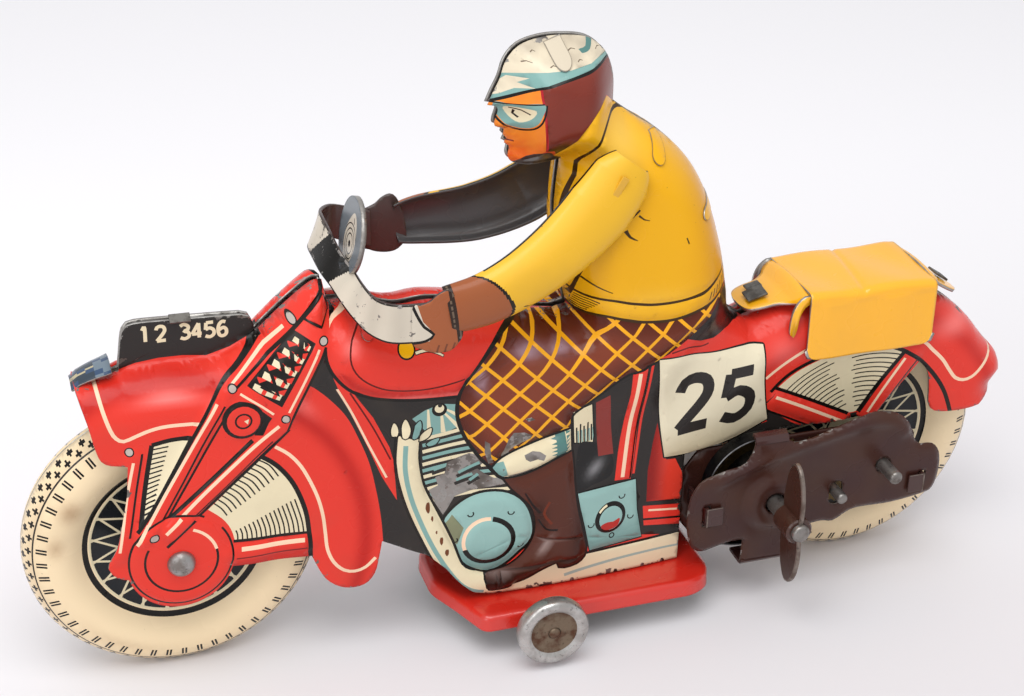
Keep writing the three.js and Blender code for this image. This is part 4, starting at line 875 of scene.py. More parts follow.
    add((hoop(78.7, 20.1, 2.85, 0.8, 0.6), BLACK, 0.2, None))
    add(fill(curve([(76.6, 19), (78, 19.4), (79.2, 19.2), (80.6, 19.6), (80.2, 18.2), (78.6, 17.7),
            (77.2, 18)], 0.5, True), paint("b5281f")))
    add(stroke(ring_points(78.7, 20.1, 2.85, 105, 145, 0.4), 0.34, CREAM))
    for x, z, turn in ((81.1, 24, -40), (74.7, 19.6, -40), (83, 19.3, -60)):
        add(stroke(ring_points(x, z, 0.6, turn - 150, turn + 60, 0.3), 0.24, BLACK))
    add((hoop(79.1, 16.1, 0.5, 0.24, 0.3), BLACK, 0.2, None))
    add(fill([(87.7, 38), (88.8, 33), (90, 29.6), (92, 29.3), (93.6, 26), (94.6, 20), (86.4, 21.2),
            (86.3, 28), (87, 34)], panel_red))
    add(fill([(85.7, 20.4), (94.6, 18.9), (94.8, 14.5), (86, 16.2)], RED))
    add(stroke([(86.9, 19.2), (93, 18.1)], 0.42, PIN))
    add(stroke([(85.8, 17.5), (94.6, 16.1)], 0.42, BLACK))
    return inks


def glossy_black(x, z):
    shine = np.exp(-((x - 75.3 - (z - 31) * 0.5) / 1.3) ** 2 - ((z - 31.2) / 1.5) ** 2)
    return blend(paint("1b1a1a"), paint("8f8e90"), shine * 0.8)


def helmet_cream(x, z):
    # Helmet cream: darker along the top by the seam and in a patch below it, with a faint mottle.
    darker = (0.45 * np.exp(-((z - 109.2) / 1.3) ** 2) + 0.3 * np.exp(-((x - 71) / 3) ** 2
            - ((z - 107.4) / 1.0) ** 2) + 0.2 * np.sin(x * 1.3) * np.sin(z * 2.1))
    return blend(paint("e2d5bb"), paint("9d9080"), darker)


def rider_inks():
    inks = []
    add = inks.append
    # saddle, trousers, cuff and boot
    seat = [(90.5, 56.2), (94.5, 58.9), (97.3, 61.4), (99, 63.4), (103.5, 63), (105, 55.5), (108, 52.8),
            (104, 53.9), (101, 54.2), (98, 53.6), (95, 54), (92, 55.4)]
    add(fill(seat, saddle_black))
    add(fill(TROUSERS, trouser_brown, rub=0.24))
    for i in range(-9, 14):
        x = 66 + i * 5.75
        for lean in (1, -1):
            line = [(x + lean * (z - 50) * 1.08 + (0.9 if z < 43 else 0) * lean, z
                    - (0.35 if lean > 0 else -0.35) * math.sin(x)) for z in (30, 37, 44, 51, 58, 67)]
            add((band(curve(line, 1.2), 0.62), paint("f0a81a"), 0.24, TROUSERS))
    knee = [(58, 41), (59, 42.4), (61, 42.2), (62.5, 41.4), (62.2, 40.6), (60.5, 40), (59.3, 39.3),
            (58.3, 38.2), (59.3, 37.4), (57.6, 36.4), (57, 37.6), (57.4, 39)]
    add(fill(knee, TIN, rub=1.0))
    add(fill([(53.9, 41.2), (54.8, 40.6), (55.1, 37.8), (55.8, 36), (54.9, 35.8), (54, 38.6)], TIN,
            rub=1.0))
    add(fill([(61.1, 44.9), (62.2, 45.1), (62.9, 44.5), (61.6, 44.3)], TIN, rub=1.0))
    add((band(TRUNK, 0.7), BLACK, 0.22, None))
    add(fill(CUFF, CREAM, rub=0.42))
    add(fill([(66.9, 41), (68.8, 41), (69.2, 35.6), (67.2, 35.4)], DARK_TEAL, CUFF))
    for i in range(7):
        z = 36 + i * 0.75
        add(fill([(66, z), (67.2, z + 0.35), (67.2, z - 0.2)], DARK_TEAL, CUFF))
        add(fill([(69, z + 0.3), (70, z + 0.05), (69, z - 0.25)], DARK_TEAL, CUFF))
    add(fill([(55.4, 35.4), (57.4, 36.4), (58.2, 33.2), (56.6, 32.6)], TEAL, CUFF, rub=0.5))
    add(fill([(61, 37.6), (62.5, 38.2), (63.8, 38), (65, 37), (64.6, 36), (63.4, 36.5), (62, 36.2),
            (61.2, 36.8)], TIN, rub=1.0))
    add(fill([(57.6, 33.2), (60, 33.9), (63.2, 34.8), (62.6, 33.7), (60, 32.9)], TIN, rub=1.0))
    add((band(CUFF_TOP, 0.45), BLACK, 0.3, None))
    add(stroke([(54.9, 35.2), (56.6, 33.1), (57.6, 32.5)], 0.7, BLACK))
    add(fill(BOOT, boot_brown, rub=0.26))
    add((band(BOOT + [BOOT[0]], 0.42), paint("170a05"), 0.2, None))
    add((band(CUFF[len(CUFF_TOP):], 0.45), BLACK, 0.3, None))
    add(stroke([(61.4, 29.4), (63, 26.4), (64.4, 24.6)], 0.3, paint("1a0a05"), end=0.6))
    add(stroke([(64.2, 23), (65.6, 21), (67.8, 20.4)], 0.3, paint("1a0a05"), end=0.5))
    add(stroke([(66, 27), (65, 24.6), (66.6, 22)], 0.5, paint("6d2a12")))
    add(stroke([(70.2, 41.2), (70.3, 43.6), (72.6, 45.3), (76, 47.5), (80, 50), (85, 51.6),
            (88.5, 53.2)], 0.5, BLACK))
    # jacket with its folds and ribbed waistband
    add(fill(JACKET, jacket_yellow))
    fold = DARK_LINE
    for width, line in (
            (0.5, [(70.1, 78.6), (70.7, 83), (72, 87.5), (73.6, 91.2), (75.6, 94.5), (78, 96.4),
                (80.5, 96.8), (83.4, 95.6)]),
            (0.5, [(71.6, 64.9), (77, 65.2), (81, 64.3), (85, 63.6), (90, 63.6), (94, 64.5), (98, 66.6),
                (102, 68)]),
            (0.55, [(72.2, 60.9), (76, 61.8), (79.5, 61.3), (83, 60.4), (88, 60), (92, 60.6), (96, 62.1),
                (99, 63.8), (102.4, 64.6)])):
        add(stroke(line, width, fold))
    for i in range(6):
        add(stroke([(72.3, 64.2 - i * 0.55), (73.8, 64.5 - i * 0.5), (75.2 - i * 0.3, 64.3 - i * 0.42)],
                0.2, fold))
    for i in range(7):
        add(stroke([(95.4 + i * 0.75, 62.9 + i * 0.4), (95.8 + i * 0.7, 64.4 + i * 0.42)], 0.2, fold))
    add(stroke([(72.5, 68.6), (74.6, 67.6), (76.9, 66.8)], 0.42, fold, end=0.15))
    add(stroke([(72, 63.5), (72.2, 67.5), (72.8, 71), (74.2, 74.2), (77, 77.8), (81.2, 81.9)], 0.34,
            fold))
    add(stroke([(81, 80.9), (82, 80.1), (83, 79.8)], 0.4, fold, end=0.12))
    add(stroke([(78.7, 78.4), (79.5, 77.2), (80.9, 76.4)], 0.75, fold, end=0.15))
    add(stroke([(90.2, 75.6), (90.7, 74.4)], 0.25, fold))
    # head: face, goggles, ear flap and helmet
    face = [(56, 98.5), (58, 99.5), (60.4, 101.3), (64.6, 103.6), (65.2, 99.8), (65.9, 95), (66, 92),
            (64.8, 91.2), (62.4, 88.8), (60, 86.6), (56, 88)]
    add(fill(face, face_orange, rub=0.12))
    # A dark grey patch under the chin, painted as the shadow on the neck.
    under_chin_shadow = curve([(62.1, 88.6), (63.4, 90.4), (65.4, 91.6), (67.2, 91.3), (68.6, 89.7), (70.6, 88.1),
            (66, 86), (61, 86.6)], closed=True)
    add(fill([(64.4, 103.4), (66, 104.3), (70, 105.2), (74, 105.7), (79, 105.9), (81, 99), (80.2, 97.3),
            (76.9, 100.5), (75, 98.9), (73, 97), (71, 94), (68.4, 90.6), (67.6, 91.8), (66, 92),
            (65.6, 97), (65.1, 100)], ear_maroon, rub=0.34))
    add(stroke([(64.5, 103.6), (65, 100), (65.6, 96), (66.1, 92)], 0.36, paint("b3202c")))
    add(fill(under_chin_shadow, paint("3a3633"), rub=0.25))
    goggles = curve([(58.3, 99.7), (61, 100.2), (64.9, 101), (64.8, 98.8), (63.8, 96.5), (62, 95.6),
            (60, 96.1), (58.8, 97.8)], 0.5, True)
    add(fill(goggles, TEAL))
    add(stroke([(58.2, 98.2), (59.2, 96.4), (61, 95.3), (62.6, 95.4), (64.2, 96.4), (65.1, 98.6),
            (65.3, 100.9)], 0.42, BLACK, end=0.25, step=0.5))
    add(stroke([(57.6, 99.5), (60.6, 100.1), (65, 101)], 0.22, BLACK))
    lens = curve([(59.8, 99.0), (61.6, 99.6), (63.9, 99.6), (63.4, 98), (61.8, 96.9), (60.5, 97.5)], 0.5,
            True)
    add(fill(lens, CREAM))
    for width, tone, line in (
            (0.22, paint("3a2a20"), [(60.4, 99.1), (62, 99.2), (63.2, 98.7)]),
            (0.34, paint("241a14"), [(61.1, 98.9), (61, 98.2), (61.7, 97.7)]),
            (0.22, paint("7a1f10"), [(60.6, 92.5), (61.8, 92.6)]),
            (0.2, paint("a33a12"), [(59.4, 94.9), (60.5, 94.9), (60.9, 95.6)])):
        add(stroke(line, width, tone))
    brim = [(57, 99.2), (60.4, 101.4), (64, 103.5), (67, 104.5), (70, 105), (74, 105.6), (81, 106),
            (84, 114), (52, 114)]
    add(fill(brim, helmet_cream, rub=0.36))
    add(fill([(57, 99.2), (60.4, 101.4), (64, 103.5), (67, 104.5), (70, 105), (74, 105.6), (81, 106),
            (81, 106.7), (74, 106.3), (70, 105.9), (66, 105.8), (62.6, 105.3), (60, 104.4), (57, 101.5)],
            TEAL, rub=0.3))
    add(fill([(57.6, 100.4), (58.8, 102.6), (60.4, 104.2), (63.2, 104.7), (61.6, 103.6), (63.8, 103.4),
            (61.2, 102.6), (59.2, 101.2)], helmet_cream, rub=0.3))
    for dx, dz, long in ((62.5, 106.8, 1.6), (66.6, 106.4, 1.1), (70.4, 108.2, 1.4), (71.6, 106.8, 0.9),
            (64.2, 108.2, 0.8), (75.8, 107.6, 1.0)):
        add(stroke([(dx, dz), (dx + long * 0.5, dz + 0.25), (dx + long, dz + 0.1)], 0.16,
                paint("6b5c4c"), end=0.08))
    add(stroke([(57.2, 99.3), (60.4, 101.2), (64, 103.3), (67, 104.3), (70, 104.9), (74, 105.5),
            (77.6, 105.8), (80, 105.6)], 0.4, BLACK))
    add(fill(curve([(72.8, 107.7), (74.6, 107.9), (75.6, 109), (74.8, 109.6), (73.9, 108.4),
            (72.4, 108.2)], 0.5, True), DARK_TEAL, rub=0.4))
    return inks


def rear_inks(right):
    inks = []
    add = inks.append
    rear = (132.9, AXLE_Z)
    # hatched side of the rear guard
    fan = (curve([(113.4, 39.2), (117, 42.4), (121, 44.5), (126, 46), (130.5, 46.1), (134, 45.5),
           (138.6, 43.9)]) + curve([(138.6, 43.9), (135.6, 38.6), (132.8, 33), (131.4, 31.2),
           (129.4, 30.9), (127, 31.8), (121, 35.4), (113.4, 39.2)]))
    add(fill(fan, CREAM, rub=0.14))
    for i in range(12):
        r = 21.4 - i * 1.12
        shift = 120 - i * 0.5
        add(stroke(ring_points(rear[0] - 1, rear[1] + 0.4, r, 150, shift - 5 - 3 * math.sin(i * 1.7)),
                0.28, BLACK, fan))
    for i in range(13):
        r = 20.9 - i * 1.08
        add(stroke(ring_points(rear[0] - 1, rear[1] + 0.4, r, 100 + 1.5 * math.sin(i * 2.1), 55), 0.28,
                BLACK, fan))
    # open space with the tubes round it
    dark = [(111, 36), (113.4, 38.6), (129, 30.6), (131.5, 30.8), (139.6, 43.4), (143, 41), (143, 5),
            (100, 5), (100, 30), (112, 32)]
    add(fill(dark, SOOT, rub=0.3))
    add(fill([(111, 35.4), (113.8, 39.2), (129.8, 30.8), (131, 27), (124, 26.8), (117, 31)], RED))
    add(fill([(139.8, 44.4), (131.2, 30.4), (133, 27), (137, 28), (144.8, 40.6)], RED))
    for width, tone, line in (
            (0.62, PIN, [(113.2, 37.3), (120, 33.7), (128, 29.4)]),
            (0.42, BLACK, [(111.4, 34.6), (117, 31.6), (125, 27.2)]),
            (0.7, BLACK, [(112.6, 39.5), (120.6, 35.3), (129.4, 30.7)]),
            (0.5, PIN, [(139.2, 42.4), (136.4, 37), (133.2, 30.8)]),
            (0.45, BLACK, [(141.9, 41.6), (138.8, 36.4), (135.4, 30.4)]),
            (0.8, BLACK, [(139, 43.9), (135.2, 37.6), (131.4, 30.9)]),
            (0.85, BLACK, [(112, 38.6), (115, 41.8), (119, 44.3), (124, 45.9), (129, 46.4), (134, 45.9),
                (138, 44.4), (142, 41.9), (146, 37.8), (149, 33.4), (151, 28.5)]),
            (0.68, PIN, [(110.3, 42.2), (114, 45), (117.5, 47.2), (121, 48.4), (129, 49.2), (137, 48.4),
                (142.5, 45.6), (145, 43.3), (147.5, 40.8), (149.5, 38), (151, 36.2), (152.8, 35.5),
                (154.6, 35.9), (157, 37.5), (160.4, 39.8), (163, 41.6)])):
        add(stroke(line, width, tone))
    # red of the saddle edge over the race panel
    add(fill([(88.6, 53.3), (92, 55.4), (95, 54), (98, 53.5), (101, 54.2), (104, 54), (107.6, 52.6),
            (112, 52), (111, 49), (103, 50.3), (92, 51.7), (86.6, 52.6)], guard_red))
    add(stroke([(88.8, 53.2), (92.4, 53.4), (95.4, 52.6), (97, 52.8)], 0.34, paint("6a120c")))
    add((band(RACE_PANEL + [RACE_PANEL[0]], 0.62), BLACK, 0.25, None))
    add(fill(RACE_PANEL, race_cream, rub=0.2))
    marks = figure("2", 91.3, 35.4, 7.2, 10.6, 2.3, SOOT) + figure("5", 100.9, 34.9, 6.9, 10.4, 2.3, SOOT)
    if right:
        marks = [([(199.2 - px, pz) for px, pz in s[0]], *s[1:]) for s in marks]
    inks.extend(marks)
    if right:
        add(fill(ring_points(*rear, 9.0), RED))
        for width, tone, line in (
                (0.38, BLACK, ring_points(*rear, 9.0, 0, 360)),
                (0.42, BLACK, ring_points(*rear, 6.2, 150, 372)),
                (0.55, PIN, ring_points(*rear, 6.2, 12, 68))):
            add(stroke(line, width, tone))
        add(fill([(99, 12), (112, 17), (124.6, 22.4), (125.4, 18.6), (112, 12.4), (98, 6)], RED))
        add(stroke([(100, 11.4), (112, 16.2), (124, 21.4)], 0.5, PIN))
    return inks


EDGE_FADE = 0.9
RELIEF_POINTS = []
seam_line = np.array(SEAM, float)
seam_side = np.gradient(seam_line, axis=0)
seam_side /= np.maximum(np.linalg.norm(seam_side, axis=1, keepdims=True), 1e-9)
for inset in (0.1, 0.35, 0.8, 1.5, 2.4):
    ring = seam_line + np.stack([seam_side[:, 1], -seam_side[:, 0]], 1) * inset
    far = distance(SEAM, ring[:, 0], ring[:, 1]) > inset * 0.93
    RELIEF_POINTS += [tuple(p) for p in ring[far]]

for side, half_edge, word in ((-1, LEFT_EDGE, "left"), (1, RIGHT_EDGE, "right")):
    outline = TOP_EDGE + half_edge + SILL_EDGE + FRONT_EDGE
    clean = [outline[0]]
    for p in outline[1:]:
        if math.dist(p, clean[-1]) > 0.05:
            clean.append(p)
    holes = [ring_points(0, AXLE_Z, 1.8, step=0.5)]
    if side > 0:
        holes.append(ring_points(132.9, AXLE_Z, 1.6, step=0.5))

    def edge_rub(x, z, around=clean):
        return 0.5 * np.exp(-(distance(around, x, z, True) / EDGE_FADE) ** 2)

    half = print_sheet("body_" + word + "_pressing", clean, holes, body_inks(side > 0), pressed_depth,
            side, 1.0, RELIEF_POINTS, edge_rub)
    half.data.materials.append(litho)
    half.data.materials.append(bare_tin)
    thicken(half, 0.55)
    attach(half, "frame")
    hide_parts("body_" + word)


# ------------------------------
# The road wheels: two printed tin dishes to a wheel, pressed to a round tyre and clinched together
# at the rim. Tyre, rim and crossed spokes are only printed.
WHEEL_R, RIM, CROWN, HUB_OFF, TYRE_OFF, CLINCH = 26.2, 15.2, 20.4, 2.3, 4.9, 0.15
TYRE_CREAM, TYRE_STAIN = paint("f2dbb4"), paint("a88562")
rim_circles = [p for r in (26.17, 26.05, 25.8, 25.4, 24.8) for p in ring_points(0, 0, r, step=1.1)]


def wheel_inks(cx):
    """Print of one wheel face, laid out round its centre."""
    inks = []
    add = inks.append

    def tyre_tone(x, z):
        dx, dz = x - cx, z - AXLE_Z
        angle, r = np.arctan2(dz, dx), np.hypot(dx, dz)
        stain = (np.exp(-((angle - 2.62) / 0.10) ** 2 - ((r - 20) / 1.9) ** 2)
                 + 0.8 * np.exp(-((angle - 2.98) / 0.09) ** 2 - ((r - 20.8) / 1.5) ** 2))
        stain = (stain + 0.35 * np.exp(-((angle + 2.1) / 0.35) ** 2 - ((r - 21.8) / 1.0) ** 2)
                 + 0.25 * np.exp(-((r - 24.8) / 0.8) ** 2))
        return blend(TYRE_CREAM, TYRE_STAIN, stain * 0.75)

    def spun(r, degrees):
        a = math.radians(degrees)
        return (cx + r * math.cos(a), AXLE_Z + r * math.sin(a))

    add(fill(ring_points(cx, AXLE_Z, WHEEL_R + 1), tyre_tone, rub=0.2))
    ticks, treads, spokes = 52, 60, 20
    for k in range(ticks):
        a = 360 * k / ticks
        for off in (-0.8, 0.8):
            add((band([spun(22.2, a + off), spun(24.0, a + off * 0.9)], 0.36), BLACK, 0.3, None))
    add((hoop(cx, AXLE_Z, 24.5, 0.26), SOOT, 0.3, None))
    for k in range(treads):
        a = 360 * k / treads
        add((band([spun(25.15, a - 1.5), spun(25.15, a + 1.5)], 0.32), BLACK, 0.4, None))
        add((band([spun(24.7, a), spun(25.65, a)], 0.4), BLACK, 0.4, None))
        add((band([spun(25.9, a + 1.5), spun(25.9, a + 4.2)], 0.3), BLACK, 0.4, None))
        add((band([spun(25.5, a + 3), spun(26.15, a + 3)], 0.36), BLACK, 0.4, None))
    for tone, area in (
            (BLACK, ring_points(cx, AXLE_Z, 16.1)),
            (TYRE_CREAM, ring_points(cx, AXLE_Z, 15.1)),
            (paint("1a1e22"), ring_points(cx, AXLE_Z, 14.55))):
        add(fill(area, tone))
    for k in range(spokes):
        a = 360 * k / spokes
        for lean in (46, -46):
            add((band(curve([spun(5.0, a), spun(14.8, a + lean)], 2), 0.42), CREAM, 0.2, None))
    add((hoop(cx, AXLE_Z, 14.7, 0.4), CREAM, 0.2, None))
    add(fill(ring_points(cx, AXLE_Z, 6.0), CREAM))
    add((hoop(cx, AXLE_Z, 5.6, 0.4), BLACK, 0.2, None))
    return inks


def wheel_depth(cx):
    """The dish's depth: flat web, a small rim bead and the half-round tyre."""
    def depth(x, z):
        r = np.hypot(x - cx, z - AXLE_Z)
        rise = (HUB_OFF + (TYRE_OFF - HUB_OFF) * np.sin(math.pi / 2 * np.clip((r - RIM) / (CROWN - RIM),
                0, 1)))
        fall = (CLINCH + (TYRE_OFF - CLINCH) * np.sqrt(np.clip(1
                - ((r - CROWN) / (WHEEL_R - CROWN)) ** 2, 0, 1)))
        bead = 0.3 * np.exp(-((r - 14.9) / 0.5) ** 2)
        return np.where(r < CROWN, rise, fall) + bead
    return depth


for axle, cx, bore, body in (("front", 0.0, 2.95, "front_wheel"), ("rear", 132.9, 1.65, "rear_wheel")):
    for side, word in ((-1, "left"), (1, "right")):
        rim_points = [(cx + px, AXLE_Z + pz) for px, pz in rim_circles]
        dish = print_sheet(f"{axle}_wheel_{word}_dish", ring_points(cx, AXLE_Z, WHEEL_R),
                [ring_points(cx, AXLE_Z, bore, step=0.5)], wheel_inks(cx), wheel_depth(cx), side, 1.15,
                rim_points)
        dish.data.materials.append(litho)
        dish.data.materials.append(bare_tin)
        thicken(dish, 0.4)
        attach(dish, body)
        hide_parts(f"{axle}_wheel_{word}")


# ------------------------------
# Front axle: a soft steel rivet headed over on both fork ends, worn grey and pitted, with a
# plain bush between the wheel and the fork sides.
def keep(piece_mesh, name, material, body, slot_name, stands_for=(), smooth=True, inner=None):
    """Puts a finished bmesh, drawn in bench millimetres, into the scene as a piece on its body."""
    bmesh.ops.recalc_face_normals(piece_mesh, faces=piece_mesh.faces)
    mesh = bpy.data.meshes.new(name)
    for v in piece_mesh.verts:
        v.co = at(*v.co)
    piece_mesh.to_mesh(mesh)
    piece_mesh.free()
    mesh.materials.append(material)
    if inner:
        mesh.materials.append(inner)
    if smooth:
        mesh.shade_smooth()
    piece = bpy.data.objects.new(name, mesh)
    bpy.context.scene.collection.objects.link(piece)
    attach(piece, body)
    if stands_for:
        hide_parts(*stands_for)
    return piece


def turned(shape, profile, x, z, segments=48):
    """Adds a turned solid about a line along Y; profile is (radius, y) from one end to the other."""
    rows = []
    for r, y in profile:
        if r < 1e-6:
            rows.append([shape.verts.new((x, y, z))])
        else:
            rows.append([shape.verts.new((x + r * math.cos(2 * math.pi * k / segments), y, z
                    + r * math.sin(2 * math.pi * k / segments))) for k in range(segments)])
    for a, b in zip(rows, rows[1:]):
        for k in range(segments):
            n = (k + 1) % segments
            ring = [a[k % len(a)], a[n % len(a)], b[n % len(b)], b[k % len(b)]]
            ring = [v for i, v in enumerate(ring) if v not in ring[:i]]
            if len(ring) > 2:
                shape.faces.new(ring)


HUB_FACE = 9.75
dull_steel = metal("dull steel", "a5a3a1", "6a5f57", 0.75, 0.38)
rivet = bmesh.new()
for way in (-1, 1):
    turned(rivet, [(0, way * (HUB_FACE + 0.2)), (2.3, way * (HUB_FACE + 0.2)),
            (2.45, way * (HUB_FACE + 0.5)), (2.3, way * (HUB_FACE + 1.2)),
            (1.75, way * (HUB_FACE + 1.8)), (0.9, way * (HUB_FACE + 2.15)), (0, way * (HUB_FACE + 2.2))],
            0, AXLE_Z)
turned(rivet, [(0, -HUB_FACE - 0.1), (1.5, -HUB_FACE - 0.1), (1.5, HUB_FACE + 0.1), (0, HUB_FACE + 0.1)],
        0, AXLE_Z)
keep(rivet, "front_axle_rivet_headed", dull_steel, "frame", "bare_steel", ["front_axle_rivet"])


# ------------------------------
# The base pan: a shallow tray of red enamelled tin under the engine, with a turned-down wall and
# an ear each side for the stabiliser axle. Chipped along the flange.
def enamel(name, tone, wear_amount, coat=0.5):
    """Plain enamel over tin, worn through here and there."""
    made, tree, shader = surface(name)
    use_effect(tree, shader, worn_print, (("Ink", paint(tone)), ("Wear", wear_amount)))
    shader.inputs["Coat Weight"].default_value = coat
    shader.inputs["Coat Roughness"].default_value = 0.1
    return made


def rounded(points, radius, steps=5):
    """A closed outline with each corner rounded off."""
    out = []
    n = len(points)
    for i in range(n):
        p, c, q = (np.array(points[(i + k) % n], float) for k in (-1, 0, 1))
        a, b = (p - c), (q - c)
        r = min(radius, np.linalg.norm(a) / 2.2, np.linalg.norm(b) / 2.2)
        a, b = c + a / np.linalg.norm(a) * r, c + b / np.linalg.norm(b) * r
        for s in range(steps + 1):
            t = s / steps
            out.append(tuple((1 - t) ** 2 * a + 2 * t * (1 - t) * c + t * t * b))
    return out


red_enamel = enamel("red enamel", "d0281c", 0.26, 0.6)
PAN_TOP, PAN_LOW, PAN_BEND, PAN_TIN, PAN_HALF = 7.0, 4.0, 0.9, 0.6, 18.8
pan_edge = rounded([(46.4, -4.5), (49.2, -10.5), (52.6, -PAN_HALF), (93.5, -PAN_HALF), (97, -17),
        (98.6, -13.5), (98.6, 13.5), (97, 17), (93.5, PAN_HALF), (52.6, PAN_HALF), (49.2, 10.5),
        (46.4, 4.5)], 1.6)
ring = np.array(pan_edge, float)
along = np.roll(ring, -1, 0) - np.roll(ring, 1, 0)
outward = np.stack([along[:, 1], -along[:, 0]],
        1) / np.maximum(np.linalg.norm(along, axis=1, keepdims=True), 1e-9)
pan = bmesh.new()
rows = []
for inset, z in ((1.6, PAN_TOP), (PAN_BEND, PAN_TOP), (PAN_BEND * 0.3, PAN_TOP - PAN_BEND * 0.3),
        (0, PAN_TOP - PAN_BEND), (0, PAN_LOW + 0.25), (-0.12, PAN_LOW)):
    rows.append([pan.verts.new((x, y, z)) for x, y in ring - outward * inset])
for a, b in zip(rows, rows[1:]):
    for k in range(len(a)):
        n = (k + 1) % len(a)
        pan.faces.new((a[k], a[n], b[n], b[k]))
pan.faces.new(rows[0])
for way in (-1, 1):
    ear = [(60.9, 4.2), (60.9, 1.6), (62.2, 1.05), (65.6, 1.05), (66.9, 1.6), (66.9, 4.2)]
    face = [pan.verts.new((x, way * (PAN_HALF + 0.02), z)) for x, z in ear]
    pan.faces.new(face if way < 0 else face[::-1])
bmesh.ops.triangulate(pan, faces=[f for f in pan.faces if len(f.verts) > 4])
tray = keep(pan, "base_pan_tray", red_enamel, "frame", "base_paint", ["base_pan"], inner=bare_tin)
thicken(tray, PAN_TIN)


# ------------------------------
# The stabiliser wheels: small turned steel rollers with a sunk face, on one wire axle through the
# pan. Bare, dull, with rust round the hub.
STAB_X, STAB_Z, STAB_R, STAB_IN = 63.9, 5.65, 6.65, 22.2
roller_steel = metal("roller steel", "c2c0bd", "574940", 0.35, 0.3)
rusty_centre = metal("rusty centre", "80705f", "55301c", 0.95, 0.5)
for way, word in ((-1, "left"), (1, "right")):
    roller = bmesh.new()
    turned(roller, [(1.15, way * STAB_IN), (6.1, way * STAB_IN), (6.5, way * (STAB_IN + 0.2)),
            (STAB_R, way * (STAB_IN + 0.6)), (STAB_R, way * (STAB_IN + 2.1)),
            (6.5, way * (STAB_IN + 2.6)), (6.0, way * (STAB_IN + 2.95)), (5.3, way * (STAB_IN + 3.0)),
            (4.7, way * (STAB_IN + 2.75)), (4.4, way * (STAB_IN + 2.4)), (2.6, way * (STAB_IN + 2.35)),
            (1.2, way * (STAB_IN + 2.5))], STAB_X, STAB_Z)
    made = keep(roller, f"stabiliser_{word}_roller", roller_steel, "stabiliser_wheels", "bare_steel",
            [f"stabiliser_wheel_{word}"], inner=rusty_centre)
    for f in made.data.polygons:
        c = f.center
        r = math.hypot(c.x * 1000 - SHIFT[0] - STAB_X, c.z * 1000 - SHIFT[2] - STAB_Z)
        if r < 4.5 and abs(c.y * 1000 - SHIFT[1]) > STAB_IN + 1.5:
            f.material_index = 1
axle = bmesh.new()
turned(axle, [(0, -25.1), (0.8, -25.1), (1.1, -24.8), (1.1, 24.8), (0.8, 25.1), (0, 25.1)], STAB_X,
        STAB_Z, 32)
keep(axle, "stabiliser_wire_axle", rusty_centre, "stabiliser_wheels", "bare_steel", ["stabiliser_axle"])


# ------------------------------
# The clockwork's side plates: blanked steel in dark brown lacquer. The outer one has a swaged
# bead, a boss round the arbor, a slot for the sliding layshaft and two locking tabs bent over it.
ARBOR, LAYSHAFT, REAR = (110.3, 20.0), (123.3, 19.7), (132.9, 24.0)
PLATE_OUT, PLATE_TIN = 15.7, 0.7
BROWN, RUSTY_BROWN = paint("3b201d"), paint("442617")
plate_edge = (curve([(105.7, 33.4), (105.5, 31.6), (104.6, 29.9), (103, 28.8), (99.5, 28), (95.8, 26.6),
        (93.8, 24.2), (92.9, 20), (93.3, 15), (94.4, 12), (96.4, 10.9), (99, 11.4), (102.4, 12.1),
        (104.7, 12)]) + curve([(104.7, 12), (104.6, 6.8)]) + curve([(104.6, 6.8), (113.9, 6.8)])
        + curve([(113.9, 6.8), (113.9, 11.6)]) + curve([(113.9, 11.6), (117, 12.6), (121, 13.2),
        (123.6, 12.8), (126.4, 14.4), (129, 15), (136, 14.8), (142.4, 15.5), (144.7, 16.6),
        (145.5, 20.5), (145, 24.6), (143.2, 26.9), (140.4, 27.3), (139, 29), (137.4, 32.6),
        (134.2, 35.2), (130, 36), (124, 34.6), (118, 32.8), (114.4, 32.2), (112.9, 32.5), (112.3, 33.4)])
        + curve([(112.3, 33.4), (105.7, 33.4)]))
plate_ring = [plate_edge[0]]
for p in plate_edge[1:]:
    if math.dist(p, plate_ring[-1]) > 0.05:
        plate_ring.append(p)
plate_line = np.array(plate_ring, float)
plate_along = np.roll(plate_line, -1, 0) - np.roll(plate_line, 1, 0)
plate_along /= np.maximum(np.linalg.norm(plate_along, axis=1, keepdims=True), 1e-9)
plate_points = []
for inset in (0.3, 0.65, 1.05):
    for way in (-1, 1):
        near = plate_line + np.stack([-plate_along[:, 1], plate_along[:, 0]], 1) * inset * way
        plate_points += [tuple(p) for p in near[distance(plate_ring, near[:, 0], near[:, 1],
                True) > inset * 0.95]]
SLOT_R = 1.4
slot_edge = (ring_points(LAYSHAFT[0], LAYSHAFT[1] + 1.0, SLOT_R, 0, 180, 0.5) + ring_points(LAYSHAFT[0],
             LAYSHAFT[1] - 1.4, SLOT_R, 180, 360, 0.5))
BEAD = curve([(99, 26), (104.6, 28.2), (111, 30.2), (118, 31.8), (125, 33.3), (130.4, 34), (134, 33.2),
        (136.4, 30.8)])


def plate_depth(x, z):
    from_arbor = np.hypot(x - ARBOR[0], z - ARBOR[1])
    boss = 1.25 * ease((6.3 - from_arbor) / 1.8) - 0.35 * ease((2.9 - from_arbor) / 0.8)
    bead = 0.75 * np.exp(-(distance(BEAD, x, z) / 1.25) ** 2)
    curl = -0.55 * ease(1 - distance(plate_ring, x, z, True) / 0.9)
    sag = 0.12 * np.sin(x * 0.23) * np.sin(z * 0.31)
    return PLATE_OUT + boss + bead + curl + sag


